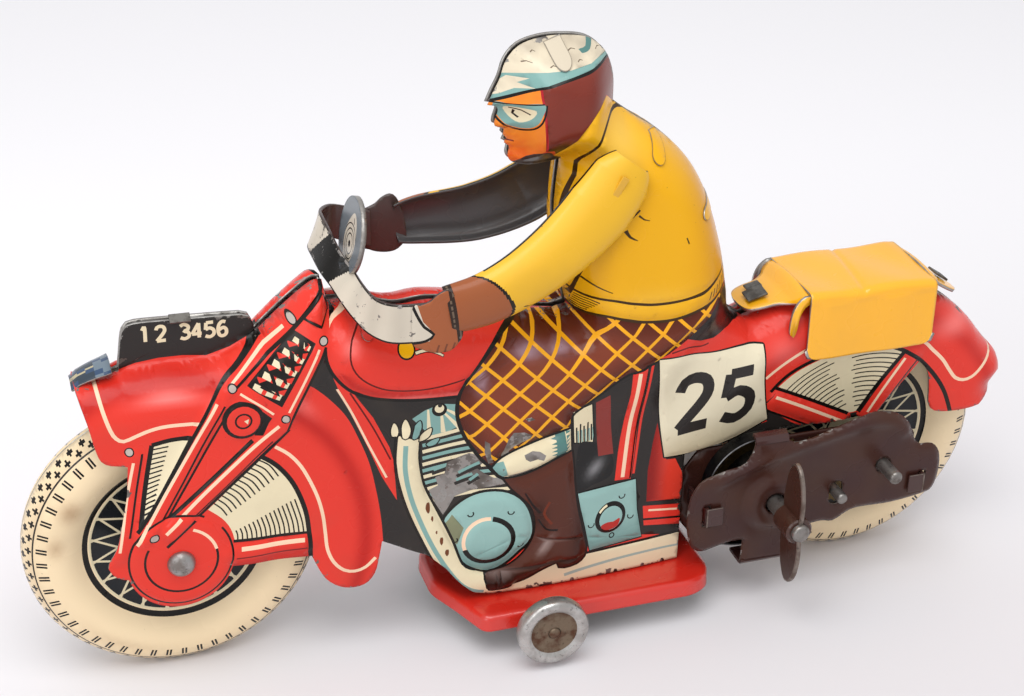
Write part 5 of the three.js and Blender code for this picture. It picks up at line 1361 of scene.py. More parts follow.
def plate_rub(x, z):
    near = distance(plate_ring, x, z, True)
    return (0.66 * np.exp(-(near / 0.5) ** 2) + 0.22 * np.exp(-(distance(BEAD, x, z) / 0.9) ** 2)
            + 0.3 * np.exp(-((np.hypot(x - ARBOR[0], z - ARBOR[1]) - 5) / 0.9) ** 2))


def plate_tone(x, z):
    warm = 0.5 + 0.5 * np.sin(x * 0.4 + 1.3) * np.sin(z * 0.5)
    return blend(BROWN, RUSTY_BROWN, warm * 0.7)


lacquer, lacquer_tree, lacquer_shader = surface("brown lacquer")
lacquer_ink = lacquer_tree.nodes.new("ShaderNodeAttribute")
lacquer_ink.attribute_name = "ink"
use_effect(lacquer_tree, lacquer_shader, worn_print, (("Ink", lacquer_ink.outputs["Color"]),
        ("Wear", lacquer_ink.outputs["Alpha"])))
lacquer_shader.inputs["Coat Weight"].default_value = 0.08
lacquer_shader.inputs["Specular IOR Level"].default_value = 0.3
lacquer_shader.inputs["Coat Roughness"].default_value = 0.3
edge_steel = metal("cut steel edge", "8b8078", "4a3428", 0.7, 0.4)
everywhere = [(-60, -60), (300, -60), (300, 300), (-60, 300)]
lock_holes = [rounded([(95.8, 16.7), (97.4, 16.7), (97.4, 21.2), (95.8, 21.2)], 0.3, 2),
        rounded([(140.8, 16.7), (142.4, 16.7), (142.4, 21.2), (140.8, 21.2)], 0.3, 2)]
outer_plate = print_sheet("motor_outer_side_plate", plate_ring, [ring_points(*ARBOR, 2.05, step=0.5),
        ring_points(*REAR, 1.65, step=0.5), slot_edge] + lock_holes,
        [fill(everywhere, plate_tone, rub=0.16)], plate_depth, -1, 0.8, plate_points, plate_rub)
outer_plate.data.materials.append(lacquer)
outer_plate.data.materials.append(edge_steel)
solid = thicken(outer_plate, PLATE_TIN, 0)
solid.material_offset_rim = 1
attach(outer_plate, "frame")
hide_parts("motor_outer_plate")

brown_plain = enamel("brown lacquer plain", "3e2320", 0.3, 0.1)


def folded_strip(shape, path, x0, x1, thick):
    """A strip of sheet as wide as x0 to x1 that follows (y, z) points, with its own thickness."""
    p = np.array(path, float)
    along = np.gradient(p, axis=0)
    along /= np.linalg.norm(along, axis=1, keepdims=True)
    out = np.stack([-along[:, 1], along[:, 0]], 1) * thick
    rows = []
    for (y, z), (oy, oz) in zip(p, out):
        rows.append([shape.verts.new(v) for v in ((x0, y, z), (x1, y, z), (x1, y + oy, z + oz),
                (x0, y + oy, z + oz))])
    for a, b in zip(rows, rows[1:]):
        for k in range(4):
            n = (k + 1) % 4
            shape.faces.new((a[k], a[n], b[n], b[k]))
    shape.faces.new(rows[0][::-1])
    shape.faces.new(rows[-1])


def box(shape, lo, hi, soften=0.0):
    """A plain block between two corners, its edges softened a little."""
    made = bmesh.ops.create_cube(shape, size=1)["verts"]
    for v in made:
        v.co = Vector([(lo[i] + hi[i]) / 2 + v.co[i] * (hi[i] - lo[i]) for i in range(3)])
    if soften:
        edges = {e for v in made for e in v.link_edges}
        bmesh.ops.bevel(shape, geom=list(edges), offset=soften, offset_type="OFFSET", affect="EDGES",
                segments=2, profile=0.5, material=-1)


folds = bmesh.new()
folded_strip(folds, [(-15.05, 32.8), (-15.0, 33.25), (-14.7, 33.6), (-14.2, 33.75), (-13.7, 33.8)],
        105.7, 112.3, 0.65)
folded_strip(folds, [(-10.2, 7.0), (-12.4, 6.9), (-14.2, 6.85), (-14.8, 6.95), (-15.1, 7.4)], 104.7,
        113.8, 0.65)
keep(folds, "motor_plate_folds", brown_plain, "frame", "motor_lacquer", smooth=False)

inner_edge = rounded([(94.6, 24), (94.4, 14), (98, 9), (112, 8), (128, 12.6), (143, 14.8), (144, 25),
        (140, 28.6), (98, 28.6)], 1.2, 3)
inner_plate = print_sheet("motor_inner_side_plate", inner_edge, [ring_points(*ARBOR, 2.0, step=0.5),
        ring_points(*REAR, 1.6, step=0.5), ring_points(*LAYSHAFT, 1.4, step=0.5)],
        [fill(everywhere, plate_tone, rub=0.2)], lambda x, z: 7.6 + 0 * x, -1, 3.0)
inner_plate.data.materials.append(lacquer)
inner_plate.data.materials.append(edge_steel)
thicken(inner_plate, 0.6, 0)
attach(inner_plate, "frame")
straps = bmesh.new()
for x, way in ((96.6, 1), (141.6, -1)):
    box(straps, (x - 0.35, -16.1, 17.1), (x + 0.35, -7.4, 20.9), 0.08)
    box(straps, (min(x - way * 0.2, x + way * 3.1), -16.5, 17.1),
            (max(x - way * 0.2, x + way * 3.1), -16.02, 20.9), 0.15)
keep(straps, "motor_cross_straps", brown_plain, "frame", "motor_lacquer", ["motor_inner_plate"],
        smooth=False)
worn_edges = bmesh.new()
for x, way in ((96.6, 1), (141.6, -1)):
    box(worn_edges, (x - way * 0.1 - 0.14, -16.56, 17.05), (x - way * 0.1 + 0.14, -16.3, 20.95), 0.05)
    box(worn_edges, (min(x, x + way * 3.0), -16.56, 20.78), (max(x, x + way * 3.0), -16.36, 20.96), 0.05)
keep(worn_edges, "motor_strap_worn_edges", edge_steel, "frame", "motor_lacquer", smooth=False)


# ------------------------------
# The mainspring: one long strip of blued spring steel, wound tight at the arbor and lying slack
# and off centre at its outer coil. Oiled black, its rolled near edge given a lighter steel as a painted
# highlight.
spring_blue = metal("blued spring steel", "191a1e", "0c0b0b", 0.5, 0.3)
spring_edge_highlight = metal("spring edge highlight", "9a9a9c", "2a2624", 0.6, 0.3)
SPRING_OUT = (106.3, 22.2)
SPRING_TURNS, SPRING_INNER, SPRING_OUTER, SLACK, SPRING_END = 4.6, 2.6, 13.1, 1.8, -2.3
SPRING_NEAR, SPRING_FAR, STRIP = -13.2, -10.2, 0.32
spring = bmesh.new()
rows = []
count = 420
for i in range(count + 1):
    t = i / count
    a = SPRING_END + 2 * math.pi * SPRING_TURNS * (1 - t)
    slack = t ** SLACK
    r = SPRING_INNER + (SPRING_OUTER - SPRING_INNER) * slack
    cx, cz = ARBOR[0] + (SPRING_OUT[0] - ARBOR[0]) * slack, ARBOR[1] + (SPRING_OUT[1] - ARBOR[1]) * slack
    row = []
    for off, y in ((STRIP / 2, SPRING_NEAR + 0.1), (STRIP / 2, SPRING_FAR - 0.1),
            (-STRIP / 2, SPRING_FAR - 0.1), (-STRIP / 2, SPRING_NEAR + 0.1), (0, SPRING_NEAR)):
        row.append(spring.verts.new((cx + (r + off) * math.cos(a), y, cz + (r + off) * math.sin(a))))
    rows.append(row)
for a, b in zip(rows, rows[1:]):
    for k in range(5):
        n = (k + 1) % 5
        face = spring.faces.new((a[k], a[n], b[n], b[k]))
        # The near edge of the strip takes the lighter steel: a painted highlight.
        if k in (3, 4):
            face.material_index = 1
spring.faces.new(rows[0])
spring.faces.new(rows[-1])
keep(spring, "mainspring_strip", spring_blue, "frame", "spring_steel", ["mainspring"], smooth=False,
        inner=spring_edge_highlight)


# ------------------------------
# Gears and shafts: stamped brass wheels and steel pinions on steel pins. The pins' ends stand out
# of the outer plate, chamfered and rubbed bright.
stamped_brass = metal("stamped brass", "6a5733", "2c2114", 0.8, 0.45)
pin_steel = metal("pin steel", "8f8b87", "4b4038", 0.7, 0.35)
for node, material in (("great_wheel", stamped_brass), ("layshaft_wheel", stamped_brass),
        ("layshaft_pinion", pin_steel), ("rear_pinion", pin_steel), ("ratchet_wheel", pin_steel),
        ("click", pin_steel), ("click_spring", spring_blue), ("front_axle_bush", dull_steel)):
    frame["nodes"][node].data.materials.clear()
    frame["nodes"][node].data.materials.append(material)
for name, (x, z), r, tip, far, body, node in (("winding_arbor_pin", ARBOR, 1.7, -28.0, -6.3,
        "winding_train", "winding_arbor"), ("layshaft_pin", LAYSHAFT, 1.1, -18.8, -6.3, "layshaft_train",
        "layshaft"), ("rear_axle_pin", REAR, 1.3, -21.2, 11.5, "rear_wheel", "rear_axle")):
    pin = bmesh.new()
    turned(pin, [(0, tip), (r * 0.62, tip), (r * 0.9, tip + 0.25), (r, tip + 0.55), (r, far - 0.2),
            (r * 0.85, far), (0, far)], x, z, 40)
    keep(pin, name, pin_steel, body, "bare_steel", [node])


# ------------------------------
# The winding key: one leaf of steel folded over a sleeve on the arbor, two wings, brown lacquer
# worn to rust and bright metal on its edges.
KEY_NEAR, KEY_FAR, KEY_THICK = -27.3, -20.4, 0.9
key_mid, key_half = (KEY_NEAR + KEY_FAR) / 2, (KEY_FAR - KEY_NEAR) / 2
right_edge = curve([(0.8, 0), (1.02, 3.2), (0.98, 6.6), (0.78, 9.8), (0.42, 12.1), (0.14, 12.8)], 0.4)
left_edge = curve([(0.14, 12.8), (-0.3, 12.3), (-0.72, 10.2), (-0.98, 6.8), (-1.0, 3.4), (-0.8, 0)], 0.4)
wing_edge = right_edge + left_edge[1:]
leaf_outline = wing_edge + [(u, -v) for u, v in wing_edge[-2:0:-1]]
key = bmesh.new()
levels = []
for thick, shrink in ((-0.5, 0.90), (-0.38, 0.985), (0, 1.0), (0.38, 0.985), (0.5, 0.90)):
    levels.append([key.verts.new((ARBOR[0] + thick * KEY_THICK, key_mid
            + u * key_half * (shrink + 0.03 if abs(u) > 0.1 else 1), ARBOR[1]
            + v * (1 - (1 - shrink) * 0.35))) for u, v in leaf_outline])
for a, b in zip(levels, levels[1:]):
    for k in range(len(a)):
        n = (k + 1) % len(a)
        face = key.faces.new((a[k], a[n], b[n], b[k]))
        face.material_index = 1
caps = [key.faces.new(levels[0]), key.faces.new(levels[-1][::-1])]
bmesh.ops.triangulate(key, faces=caps)
turned(key, [(1.75, KEY_NEAR + 0.5), (2.3, KEY_NEAR + 0.5), (2.6, KEY_NEAR + 0.8), (2.6, KEY_FAR - 0.7),
        (2.3, KEY_FAR - 0.4), (1.75, KEY_FAR - 0.4)], *ARBOR, 36)
key_lacquer = enamel("key lacquer", "40251c", 0.42, 0.1)
keep(key, "winding_key_leaf", key_lacquer, "winding_train", "motor_lacquer", ["winding_key"],
        smooth=False, inner=edge_steel)


# ------------------------------
# The handlebar: one arched strip of printed tin, cream with a black middle, ending in the rider's
# gloved hands. The round headlamp disc stands up from its middle.
def inked(layer, face, tone, rub=0.22):
    """Lays one colour on a face."""
    for loop in face.loops:
        loop[layer] = (*tone, rub)


def printed_ribbon(low, high, across, tone_at, rub_at=None, step=0.25):
    """A strip between two edge lines; tone_at(along, up) gives the ink, up running 0 to 1 between the
    edges."""
    low, high = (np.array(curve(e, 1.0)) for e in (low, high))
    count = int(np.linalg.norm(np.diff(low, axis=0), axis=1).sum() / step)
    spread = []
    for line in (low, high):
        run = np.concatenate([[0], np.cumsum(np.linalg.norm(np.diff(line, axis=0), axis=1))])
        want = np.linspace(0, run[-1], count + 1)
        spread.append(np.stack([np.interp(want, run, line[:, k]) for k in range(3)], 1))
    low, high = spread
    strip = bmesh.new()
    layer = strip.loops.layers.float_color.new("ink")
    grid = [[strip.verts.new(low[i] + (high[i] - low[i]) * j / across) for j in range(across + 1)]
            for i in range(count + 1)]
    for i in range(count):
        for j in range(across):
            face = strip.faces.new((grid[i][j], grid[i + 1][j], grid[i + 1][j + 1], grid[i][j + 1]))
            tone = tone_at((i + 0.5) / count, (j + 0.5) / across)
            inked(layer, face, tone, 0.3 if rub_at is None else rub_at((i + 0.5) / count,
                    (j + 0.5) / across))
    return strip


BAR_TIN = 0.55
OFF_WHITE, GLOVE, GLOVE_DARK, STRAP = paint("cfc5b4"), paint("a05a36"), paint("74402a"), paint("2e2019")
FAR_LOW = [(41.5, 17.3, 67.2), (37.5, 17.4, 68.2), (33, 16, 70.4), (29.6, 12.6, 71.6), (28.1, 9, 72.2),
        (28, 5, 72), (28.3, 0, 71.3)]
FAR_HIGH = [(41.5, 17.3, 73.9), (38, 17.5, 75), (34, 16.6, 76.4), (31.4, 13.2, 77.2), (30.7, 9, 77.8),
        (30.9, 5, 77.2), (31.6, 0, 75.4)]
NEAR_LOW = [(29.2, -3, 70.2), (30.2, -6.5, 68.6), (31.4, -10.5, 67.2), (33, -14.2, 66),
        (35.6, -16.8, 65.2), (39, -17.9, 65.1), (42, -17.9, 65.1)]
NEAR_HIGH = [(33.2, -3, 73), (33.6, -6.5, 72.2), (34, -10.5, 71.9), (34.8, -14, 71.8), (36.6, -16.6, 72),
        (39.4, -17.7, 72.1), (42, -17.9, 72.1)]
bar_low, bar_high = FAR_LOW + NEAR_LOW, FAR_HIGH + NEAR_HIGH


def bar_tone(along, up):
    black = 0.415 + 0.06 * (up - 0.5) < along < 0.585 - 0.05 * (0.5 - up)
    if black or up < 0.045 or up > 0.97:
        return BLACK
    return tuple(np.array(OFF_WHITE) * (0.96 + 0.05 * math.sin(along * 60)))


ribbon = printed_ribbon(bar_low, bar_high, 22, bar_tone, lambda along, up: 0.6
        + 0.2 * (up < 0.1 or up > 0.92))
hand_near = [(39.6, 65.2), (41.2, 63.9), (42.8, 63.2), (44.6, 62.9), (46.2, 63.1), (47.3, 63.9),
        (48.3, 65.4), (48.2, 68), (47.6, 71), (46.6, 73.4), (45.4, 74.2), (43.8, 73.6), (42.6, 72.6),
        (40.9, 72), (39.7, 71.7)]
glove_inside = enamel("brown inside of the bar", "4b3b38", 0.2, 0.1)
handlebar_piece = keep(ribbon, "handlebar_strip", litho, "frame", "bar_litho", ["handlebar"],
        inner=glove_inside)
thicken(handlebar_piece, BAR_TIN)

for side, word in ((-1, "left"), (1, "right")):
    lift = 0 if side < 0 else 2.1
    edge = curve([(x, z + lift) for x, z in hand_near], 0.6, closed=True)
    outlines = [fill(edge, GLOVE, rub=0.3), fill([(36, 65.3 + lift), (42.4, 65.3 + lift),
            (43.4, 66.5 + lift), (41.4, 69 + lift), (40.2, 73 + lift), (36, 80)], OFF_WHITE, rub=0.4),
            stroke([(39.7, 72 + lift), (40.4, 70.2 + lift), (41.6, 68 + lift), (43.2, 66.5 + lift),
            (41.8, 65.4 + lift), (39.4, 65.1 + lift)], 0.5, BLACK)]
    for fx in (43.6, 45.0, 46.4):
        outlines.append(stroke([(fx, 62.6 + lift), (fx + 0.2, 63.6 + lift), (fx + 0.5, 64.4 + lift)],
                0.35, GLOVE_DARK))
    outlines.append((band(curve([(46.3, 74.4 + lift), (46.9, 71 + lift), (47.7, 67.5 + lift),
            (48.1, 64.4 + lift)], 0.5), 1.35), STRAP, 0.35, None))
    outlines.append((band(curve([(46.3, 74.4 + lift), (46.9, 71 + lift), (47.7, 67.5 + lift),
            (48.1, 64.4 + lift)], 0.5), 0.3), paint("6b5a4a"), 0.45, None))
    hand = print_sheet(f"hand_{word}", edge, [], outlines, lambda x, z: 17.9
            + 0.55 * np.sin(math.pi * np.clip((x - 39.5) / 9, 0, 1)) ** 0.7, side, 0.7, (), lambda x,
            z: 0.25 * np.exp(-(distance(edge, x, z, True) / 0.6) ** 2))
    hand.data.materials.append(litho)
    hand.data.materials.append(glove_inside)
    thicken(hand, 0.5)
    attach(hand, "frame")

# The headlamp disc: blue-grey rim with a cream drop printed on its face, ringed in black.
LAMP_X, LAMP_Z, LAMP_R, LAMP_LEAN, LAMP_THICK = 33.8, 77.6, 6.7, 0.2, 0.9
lamp_blue = paint("6e757a")
drop = [(LAMP_R * u, LAMP_R * v) for u, v in ((0.05, 0.62), (0.3, 0.52), (0.46, 0.2), (0.48, -0.2),
        (0.3, -0.58), (0, -0.78), (-0.32, -0.7), (-0.5, -0.36), (-0.46, 0.02), (-0.25, 0.36))]
centre = (LAMP_R * 0.02, -LAMP_R * 0.22)
lamp_inks = [fill([(-60, -60), (60, -60), (60, 60), (-60, 60)], lamp_blue, rub=0.3),
        fill(curve(drop, 0.5, closed=True), OFF_WHITE, rub=0.35)]
for r, w in ((0.62, 0.22), (0.46, 0.22), (0.31, 0.24)):
    lamp_inks.append((hoop(centre[0], centre[1], LAMP_R * r * 0.85, w, 0.4), BLACK, 0.3,
            curve(drop, 0.5, closed=True)))
lamp_inks.append(fill(ring_points(centre[0], centre[1], 0.6, step=0.3), BLACK))
lamp_inks.append(stroke([(LAMP_R * 0.1, LAMP_R * 0.5), (LAMP_R * 0.16, LAMP_R * 0.36)], 0.3, BLACK))
lamp = print_sheet("headlamp_disc", ring_points(0, 0, LAMP_R, step=0.4), [], lamp_inks, lambda x,
        z: 0.15 * (x * x + z * z) / LAMP_R ** 2, -1, 0.9, (), lambda x,
        z: 0.3 * np.exp(-((np.hypot(x, z) - LAMP_R) / 0.4) ** 2))
lean = Matrix.Rotation(LAMP_LEAN, 4, "Y") @ Matrix.Rotation(-math.pi / 2, 4, "Z")
place = Matrix.Translation(at(LAMP_X, 0, LAMP_Z)) @ lean @ Matrix.Translation([-c for c in at(0, 0, 0)])
lamp.data.transform(place)
lamp.data.materials.append(litho)
lamp.data.materials.append(bare_tin)
thicken(lamp, LAMP_THICK)
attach(lamp, "frame")
black_enamel = enamel("black enamel", "26292c", 0.35, 0.4)
stem = bmesh.new()
box(stem, (31.2, -2.2, 69.0), (32.4, 2.2, 73.6), 0.25)
keep(stem, "headlamp_stem", black_enamel, "frame", "bar_litho", smooth=False)


# ------------------------------
# The arms: one pressed half-shell each, open towards the body, printed as a yellow sleeve with a
# brown stitched gauntlet. The right arm shows its dark unprinted inside.
SLEEVE, SLEEVE_LIGHT = paint("e9b52c"), paint("f6c653")
SLEEVE_SHADE, GAUNTLET = paint("d99a1e"), paint("9b5733")
ARMS = {"left": (-1, [(45.9, 17.3, 69.7, 4.4, 2.3), (52.4, 17.2, 70.9, 4.8, 3),
        (59.2, 16.6, 73.6, 5.2, 3.5), (66.3, 15.8, 78, 5.8, 3.8), (72.8, 14.8, 83.5, 6.4, 3.6),
        (77.2, 14, 88.6, 5.8, 3), (79.2, 13.6, 91.2, 3.6, 2.3)]),
        "right": (1, [(46, 17.3, 71, 3.8, 2.3), (50.5, 17, 71.5, 4.8, 2.9), (60.5, 16, 72.2, 5.7, 3.4),
        (69.7, 15.3, 75.2, 6.2, 3.8), (78.8, 14.2, 81.6, 6, 3.2), (82.4, 13.4, 84.6, 4.4, 2.4)])}
ARM_TIN = 0.5
dark_inside = enamel("unprinted inside", "4b4a4b", 0.2, 0.15)
for word, (side, rings) in ARMS.items():
    line = np.array(curve([r[:3] for r in rings], 0.22))
    nodes_at = np.cumsum([0] + [max(1, int(np.linalg.norm(np.array(b[:3]) - np.array(a[:3])) / 0.22
            + 0.5)) for a, b in zip(rings, rings[1:])])
    sizes = np.stack([np.interp(np.arange(len(line)), nodes_at, [r[k] for r in rings]) for k in (3, 4)],
            1)
    shell = bmesh.new()
    layer = shell.loops.layers.float_color.new("ink")
    around = 64
    grid = []
    for i, (x, y, z) in enumerate(line):
        a, b = line[max(0, i - 1)], line[min(len(line) - 1, i + 1)]
        n = math.hypot(b[0] - a[0], b[2] - a[2])
        up = (-(b[2] - a[2]) / n, (b[0] - a[0]) / n)
        half, bulge = sizes[i]
        row = []
        for k in range(around + 1):
            t = math.pi * k / around
            c = math.copysign(abs(math.cos(t)) ** 0.85, math.cos(t)) * half
            row.append(shell.verts.new((x + up[0] * c, side * (y + math.sin(t) ** 0.8 * bulge - 1), z
                    + up[1] * c)))
        grid.append(row)
    run = np.concatenate([[0], np.cumsum(np.linalg.norm(np.diff(line, axis=0), axis=1))])
    for i in range(len(line) - 1):
        for k in range(around):
            face = shell.faces.new((grid[i][k], grid[i + 1][k], grid[i + 1][k + 1], grid[i][k + 1]))
            s, v = run[i] + 0.11, (k + 0.5) / around
            cuff = 11.2 - 5.5 * (abs(v - 0.62) / 0.62) ** 1.6 - 1.2 * v
            if s < cuff - 0.32:
                tone, rub = GAUNTLET, 0.3
                stitches = v > 0.86 and v < 0.95 and (int(s / 0.55) % 2 == 0) and s > 3
                if stitches or s < 1.25:
                    tone = STRAP
                if 0.5 < s < 0.75 and int(v * 40) % 3:
                    tone = paint("6b5a4a")
            elif s < cuff + 0.28:
                tone, rub = BLACK, 0.3
            else:
                shade = math.exp(-((v - 0.95) / 0.1) ** 2)
                light = math.exp(-((v - 0.22) / 0.16) ** 2)
                tone = tuple(np.array(SLEEVE) * (1 - 0.5 * light) + np.array(SLEEVE_LIGHT) * 0.5 * light)
                tone = tuple(np.array(tone) * (1 - 0.6 * shade) + np.array(SLEEVE_SHADE) * 0.6 * shade)
                rub = 0.24
                crease = [(12.5 + 16 * (v - 0.75)) if 0.72 < v < 0.98 else -9, (24.5 - 9 * (v - 0.8))
                        if 0.82 < v < 0.98 else -9]
                if any(abs(s - c) < 0.2 for c in crease):
                    tone = SOOT
            if v > 0.972 or (v < 0.03 and s > 8):
                tone = BLACK
            inked(layer, face, tone, rub + (0.3 if (v < 0.04 or v > 0.96) else 0))
    arm_piece = keep(shell, word + "_arm_shell", litho, "frame", "sleeve_litho", [word + "_arm"],
            inner=dark_inside)
    thicken(arm_piece, ARM_TIN)


# ------------------------------
# The luggage carrier: a folded saddle of tin in orange-yellow enamel, creased across its top, with
# rounded side flaps and an ear at each end that takes a bent tab of the body.
CARRIER_Z, CARRIER_HALF, CARRIER_DROP = 58.9, 8.8, 45.6
CARRIER_X0, CARRIER_X1, CARRIER_TIN = 117.5, 143.5, 0.6
orange_enamel = enamel("orange-yellow enamel", "fbb41c", 0.27, 0.5)
carrier = bmesh.new()
profile = [(-CARRIER_HALF - 0.85, CARRIER_DROP), (-CARRIER_HALF - 0.8, 49), (-CARRIER_HALF - 0.72, 53),
        (-CARRIER_HALF - 0.62, 57), (-CARRIER_HALF - 0.5, 58.1), (-CARRIER_HALF - 0.1, 58.65),
        (-CARRIER_HALF + 0.6, CARRIER_Z), (-CARRIER_HALF + 3, CARRIER_Z + 0.1)]
profile = curve(profile, 0.55)
profile += curve([(-CARRIER_HALF + 3, CARRIER_Z + 0.1), (CARRIER_HALF - 3, CARRIER_Z + 0.1)],
        0.7)[1:] + [(-y, z) for y, z in profile[::-1]][1:]
xs = np.linspace(CARRIER_X0, CARRIER_X1, 54)
CORNER = 2.2
grid = []
for x in xs:
    row = []
    for y, z in profile:
        inset = min(x - CARRIER_X0, CARRIER_X1 - x)
        low = (CARRIER_DROP + (CORNER - math.sqrt(max(0, CORNER ** 2
               - (CORNER - min(inset, CORNER)) ** 2))))
        dent = (-0.35 * math.exp(-((x - 129.5 - 0.12 * y) / 0.5) ** 2)
                + 0.2 * math.sin(x * 0.35 + y * 0.2) - 0.25 * math.exp(-((x - CARRIER_X1) / 1.2) ** 2))
        row.append(carrier.verts.new((x, y + (0.12 * math.sin(x * 0.5) if z < 57 else 0), max(z, low)
                if z < 52 else z + (dent if z > 57 else 0))))
    grid.append(row)
for a, b in zip(grid, grid[1:]):
    for k in range(len(a) - 1):
        face = [a[k], b[k], b[k + 1], a[k + 1]]
        if len({tuple(round(c, 4) for c in v.co) for v in face}) == 4:
            carrier.faces.new(face)


def tongue(shape, path, rows=12):
    """A rounded tongue of sheet along (x, half width, z) points."""
    made = []
    for x, w, z in curve(path, 0.5):
        made.append([shape.verts.new((x, -w + 2 * w * k / rows, z
                - 0.012 * (w * (2 * k / rows - 1)) ** 2)) for k in range(rows + 1)])
    for a, b in zip(made, made[1:]):
        for k in range(rows):
            shape.faces.new((a[k], a[k + 1], b[k + 1], b[k]))


tongue(carrier, [(117.6, 8.7, 59.2), (116.7, 8.6, 58.9), (115.6, 8, 57.9), (114.6, 6.6, 57.1),
        (112.6, 5.2, 56.5), (109.8, 4.8, 55.9), (108, 4.2, 55.4), (107.1, 3, 55.1), (106.7, 1, 55)])
tongue(carrier, [(143.4, 8.4, 59.1), (144.4, 7.6, 58.7), (145.3, 6, 57.5), (146.4, 5, 56.2),
        (148.8, 4.6, 54.6), (150.6, 4, 53.5), (151.6, 2.6, 52.9), (152, 0.8, 52.6)])
for way in (-1, 1):
    leg = [(117.7, 58.6), (116.6, 58.5), (115.2, 57.4), (114.3, 55.6), (113.9, 53), (114, 51.2),
            (114.7, 50.6), (115.3, 52), (115.7, 54.6), (116.6, 56.4), (117.7, 57)]
    corners = [carrier.verts.new((x, way * (8.75 + 0.02 * (58 - z)), z)) for x, z in curve(leg, 0.8)]
    carrier.faces.new(corners if way < 0 else corners[::-1])
bmesh.ops.triangulate(carrier, faces=[f for f in carrier.faces if len(f.verts) > 4])
bmesh.ops.dissolve_degenerate(carrier, dist=1e-5, edges=carrier.edges)
carrier_piece = keep(carrier, "luggage_carrier_saddle", orange_enamel, "frame", "carrier_paint",
        ["luggage_carrier"], inner=bare_tin)
thicken(carrier_piece, CARRIER_TIN)


# ------------------------------
# The tabs: small tongues of the tin sheet bent over at the seam, through the arms' shoulders and
# through the carrier's ears. Bare and grey where the print has cracked off.
tab_tin = metal("bent tab tin", "77746f", "3c3630", 0.8, 0.42)


def bent_tab(shape, x, y, z, long, wide, turn, lean=0.0, thick=0.45):
    """One folded tongue: a softened block, turned in the side view and leant towards the side."""
    made = bmesh.ops.create_cube(shape, size=1)["verts"]
    spin = Matrix.Rotation(math.radians(lean), 3, "X") @ Matrix.Rotation(math.radians(-turn), 3, "Y")
    for v in made:
        v.co = Vector((x, y, z)) + spin @ Vector((v.co.x * long, v.co.y * wide, v.co.z * thick))
    bmesh.ops.bevel(shape, geom=list({e for v in made for e in v.link_edges}), offset=0.14,
            offset_type="OFFSET", affect="EDGES", segments=2, profile=0.5, material=-1)


tabs = bmesh.new()
for x, y, z, long, wide, turn, lean in ((109.9, -1.2, 56.75, 4.0, 3.2, 16, 6),
        (110.6, 1.4, 57.0, 3.0, 2.2, 14, 0), (149.4, 0.4, 54.8, 3.4, 3.0, -34, 0),
        (4.0, -0.9, 66.5, 3.6, 1.8, -2, 30)):
    bent_tab(tabs, x, y, z, long, wide, turn, lean)
keep(tabs, "seam_tabs", tab_tin, "frame", "red_litho", smooth=False)
for count, (line, width, tone) in enumerate((([(68.3, 109.9), (68.6, 108.6), (68.9, 107.6)], 3.2,
        paint("d3c7b1")), ([(86.6, 92.6), (86, 91.2), (85.5, 90.2)], 2.6, YELLOW),
        ([(97.6, 79.4), (96.2, 78.8), (95.2, 78.5)], 2.2, YELLOW),
        ([(34.6, 66.05), (34.5, 64.8), (34.3, 63.6)], 2.4, RED))):
    shape = band(curve(line, 0.5), width)
    end = np.array(line[-1]) - np.array(line[-2])
    end /= np.linalg.norm(end)
    half = len(shape) // 2
    turn = math.degrees(math.atan2(end[1], end[0]))
    cap = [tuple(np.array(line[-1]) + width / 2 * np.array((math.cos(math.radians(turn + a)),
            math.sin(math.radians(turn + a))))) for a in range(75, -90, -15)]
    shape = shape[:half] + cap + shape[half:]
    # Each folded tab: one ink over the tongue and a darker line round its edge, painted as shadow.
    tab = print_sheet(f"folded_tab_{count + 1}", shape, [], [fill(everywhere, tone, rub=0.3),
            (band(shape + [shape[0]], 0.2), tuple((np.array(DARK_LINE) + np.array(tone)) / 2), 0.5,
            None)], lambda x, z: pressed_depth(x, z) + 0.5, -1, 0.6)
    tab.data.materials.append(litho)
    tab.data.materials.append(bare_tin)
    thicken(tab, 0.35)
    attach(tab, "frame")
shoulder = bmesh.new()
bent_tab(shoulder, 75.9, -16.35, 88.2, 3.8, 0.5, 58, 0, 1.3)
bent_tab(shoulder, 79.0, 16.8, 82.2, 3.8, 0.5, 40, 0, 1.3)
bent_tab(shoulder, 72.9, -14.4, 77.6, 2.6, 0.5, 30, 0, 0.9)
keep(shoulder, "shoulder_tabs", enamel("yellow tab", "d9a52b", 0.5, 0.3), "frame", "sleeve_litho",
        smooth=False)

# The tip of the front mudguard: a flap of recycled printed tin, blue and cream.
FLAP_TIN = 0.4
flap = bmesh.new()
layer = flap.loops.layers.float_color.new("ink")
flap_rows = [(-14.9, 57.2), (-13.6, 58.2), (-12.2, 58.8), (-10.8, 59.3), (-9.4, 59.7), (-8.2, 60.1)]
flap_mesh = [[flap.verts.new((x, (-3.6 + 7.2 * k / 12) * (0.75 + 0.05 * i), z - 0.02 * (k - 6) ** 2))
        for k in range(13)] for i, (x, z) in enumerate(flap_rows)]
for i in range(len(flap_rows) - 1):
    for k in range(12):
        face = flap.faces.new((flap_mesh[i][k], flap_mesh[i][k + 1], flap_mesh[i + 1][k + 1],
                flap_mesh[i + 1][k]))
        tone = paint("37424d")
        if (k + 2 * i) % 7 < 2:
            tone = paint("3b4f6b")
        elif i > 2:
            tone = paint("6f7d88")
        elif k in (4, 5):
            tone = paint("b9ad8c")
        inked(layer, face, tone, 0.5)
flap_piece = keep(flap, "mudguard_tip_flap", litho, "frame", "red_litho", inner=bare_tin)
thicken(flap_piece, FLAP_TIN)


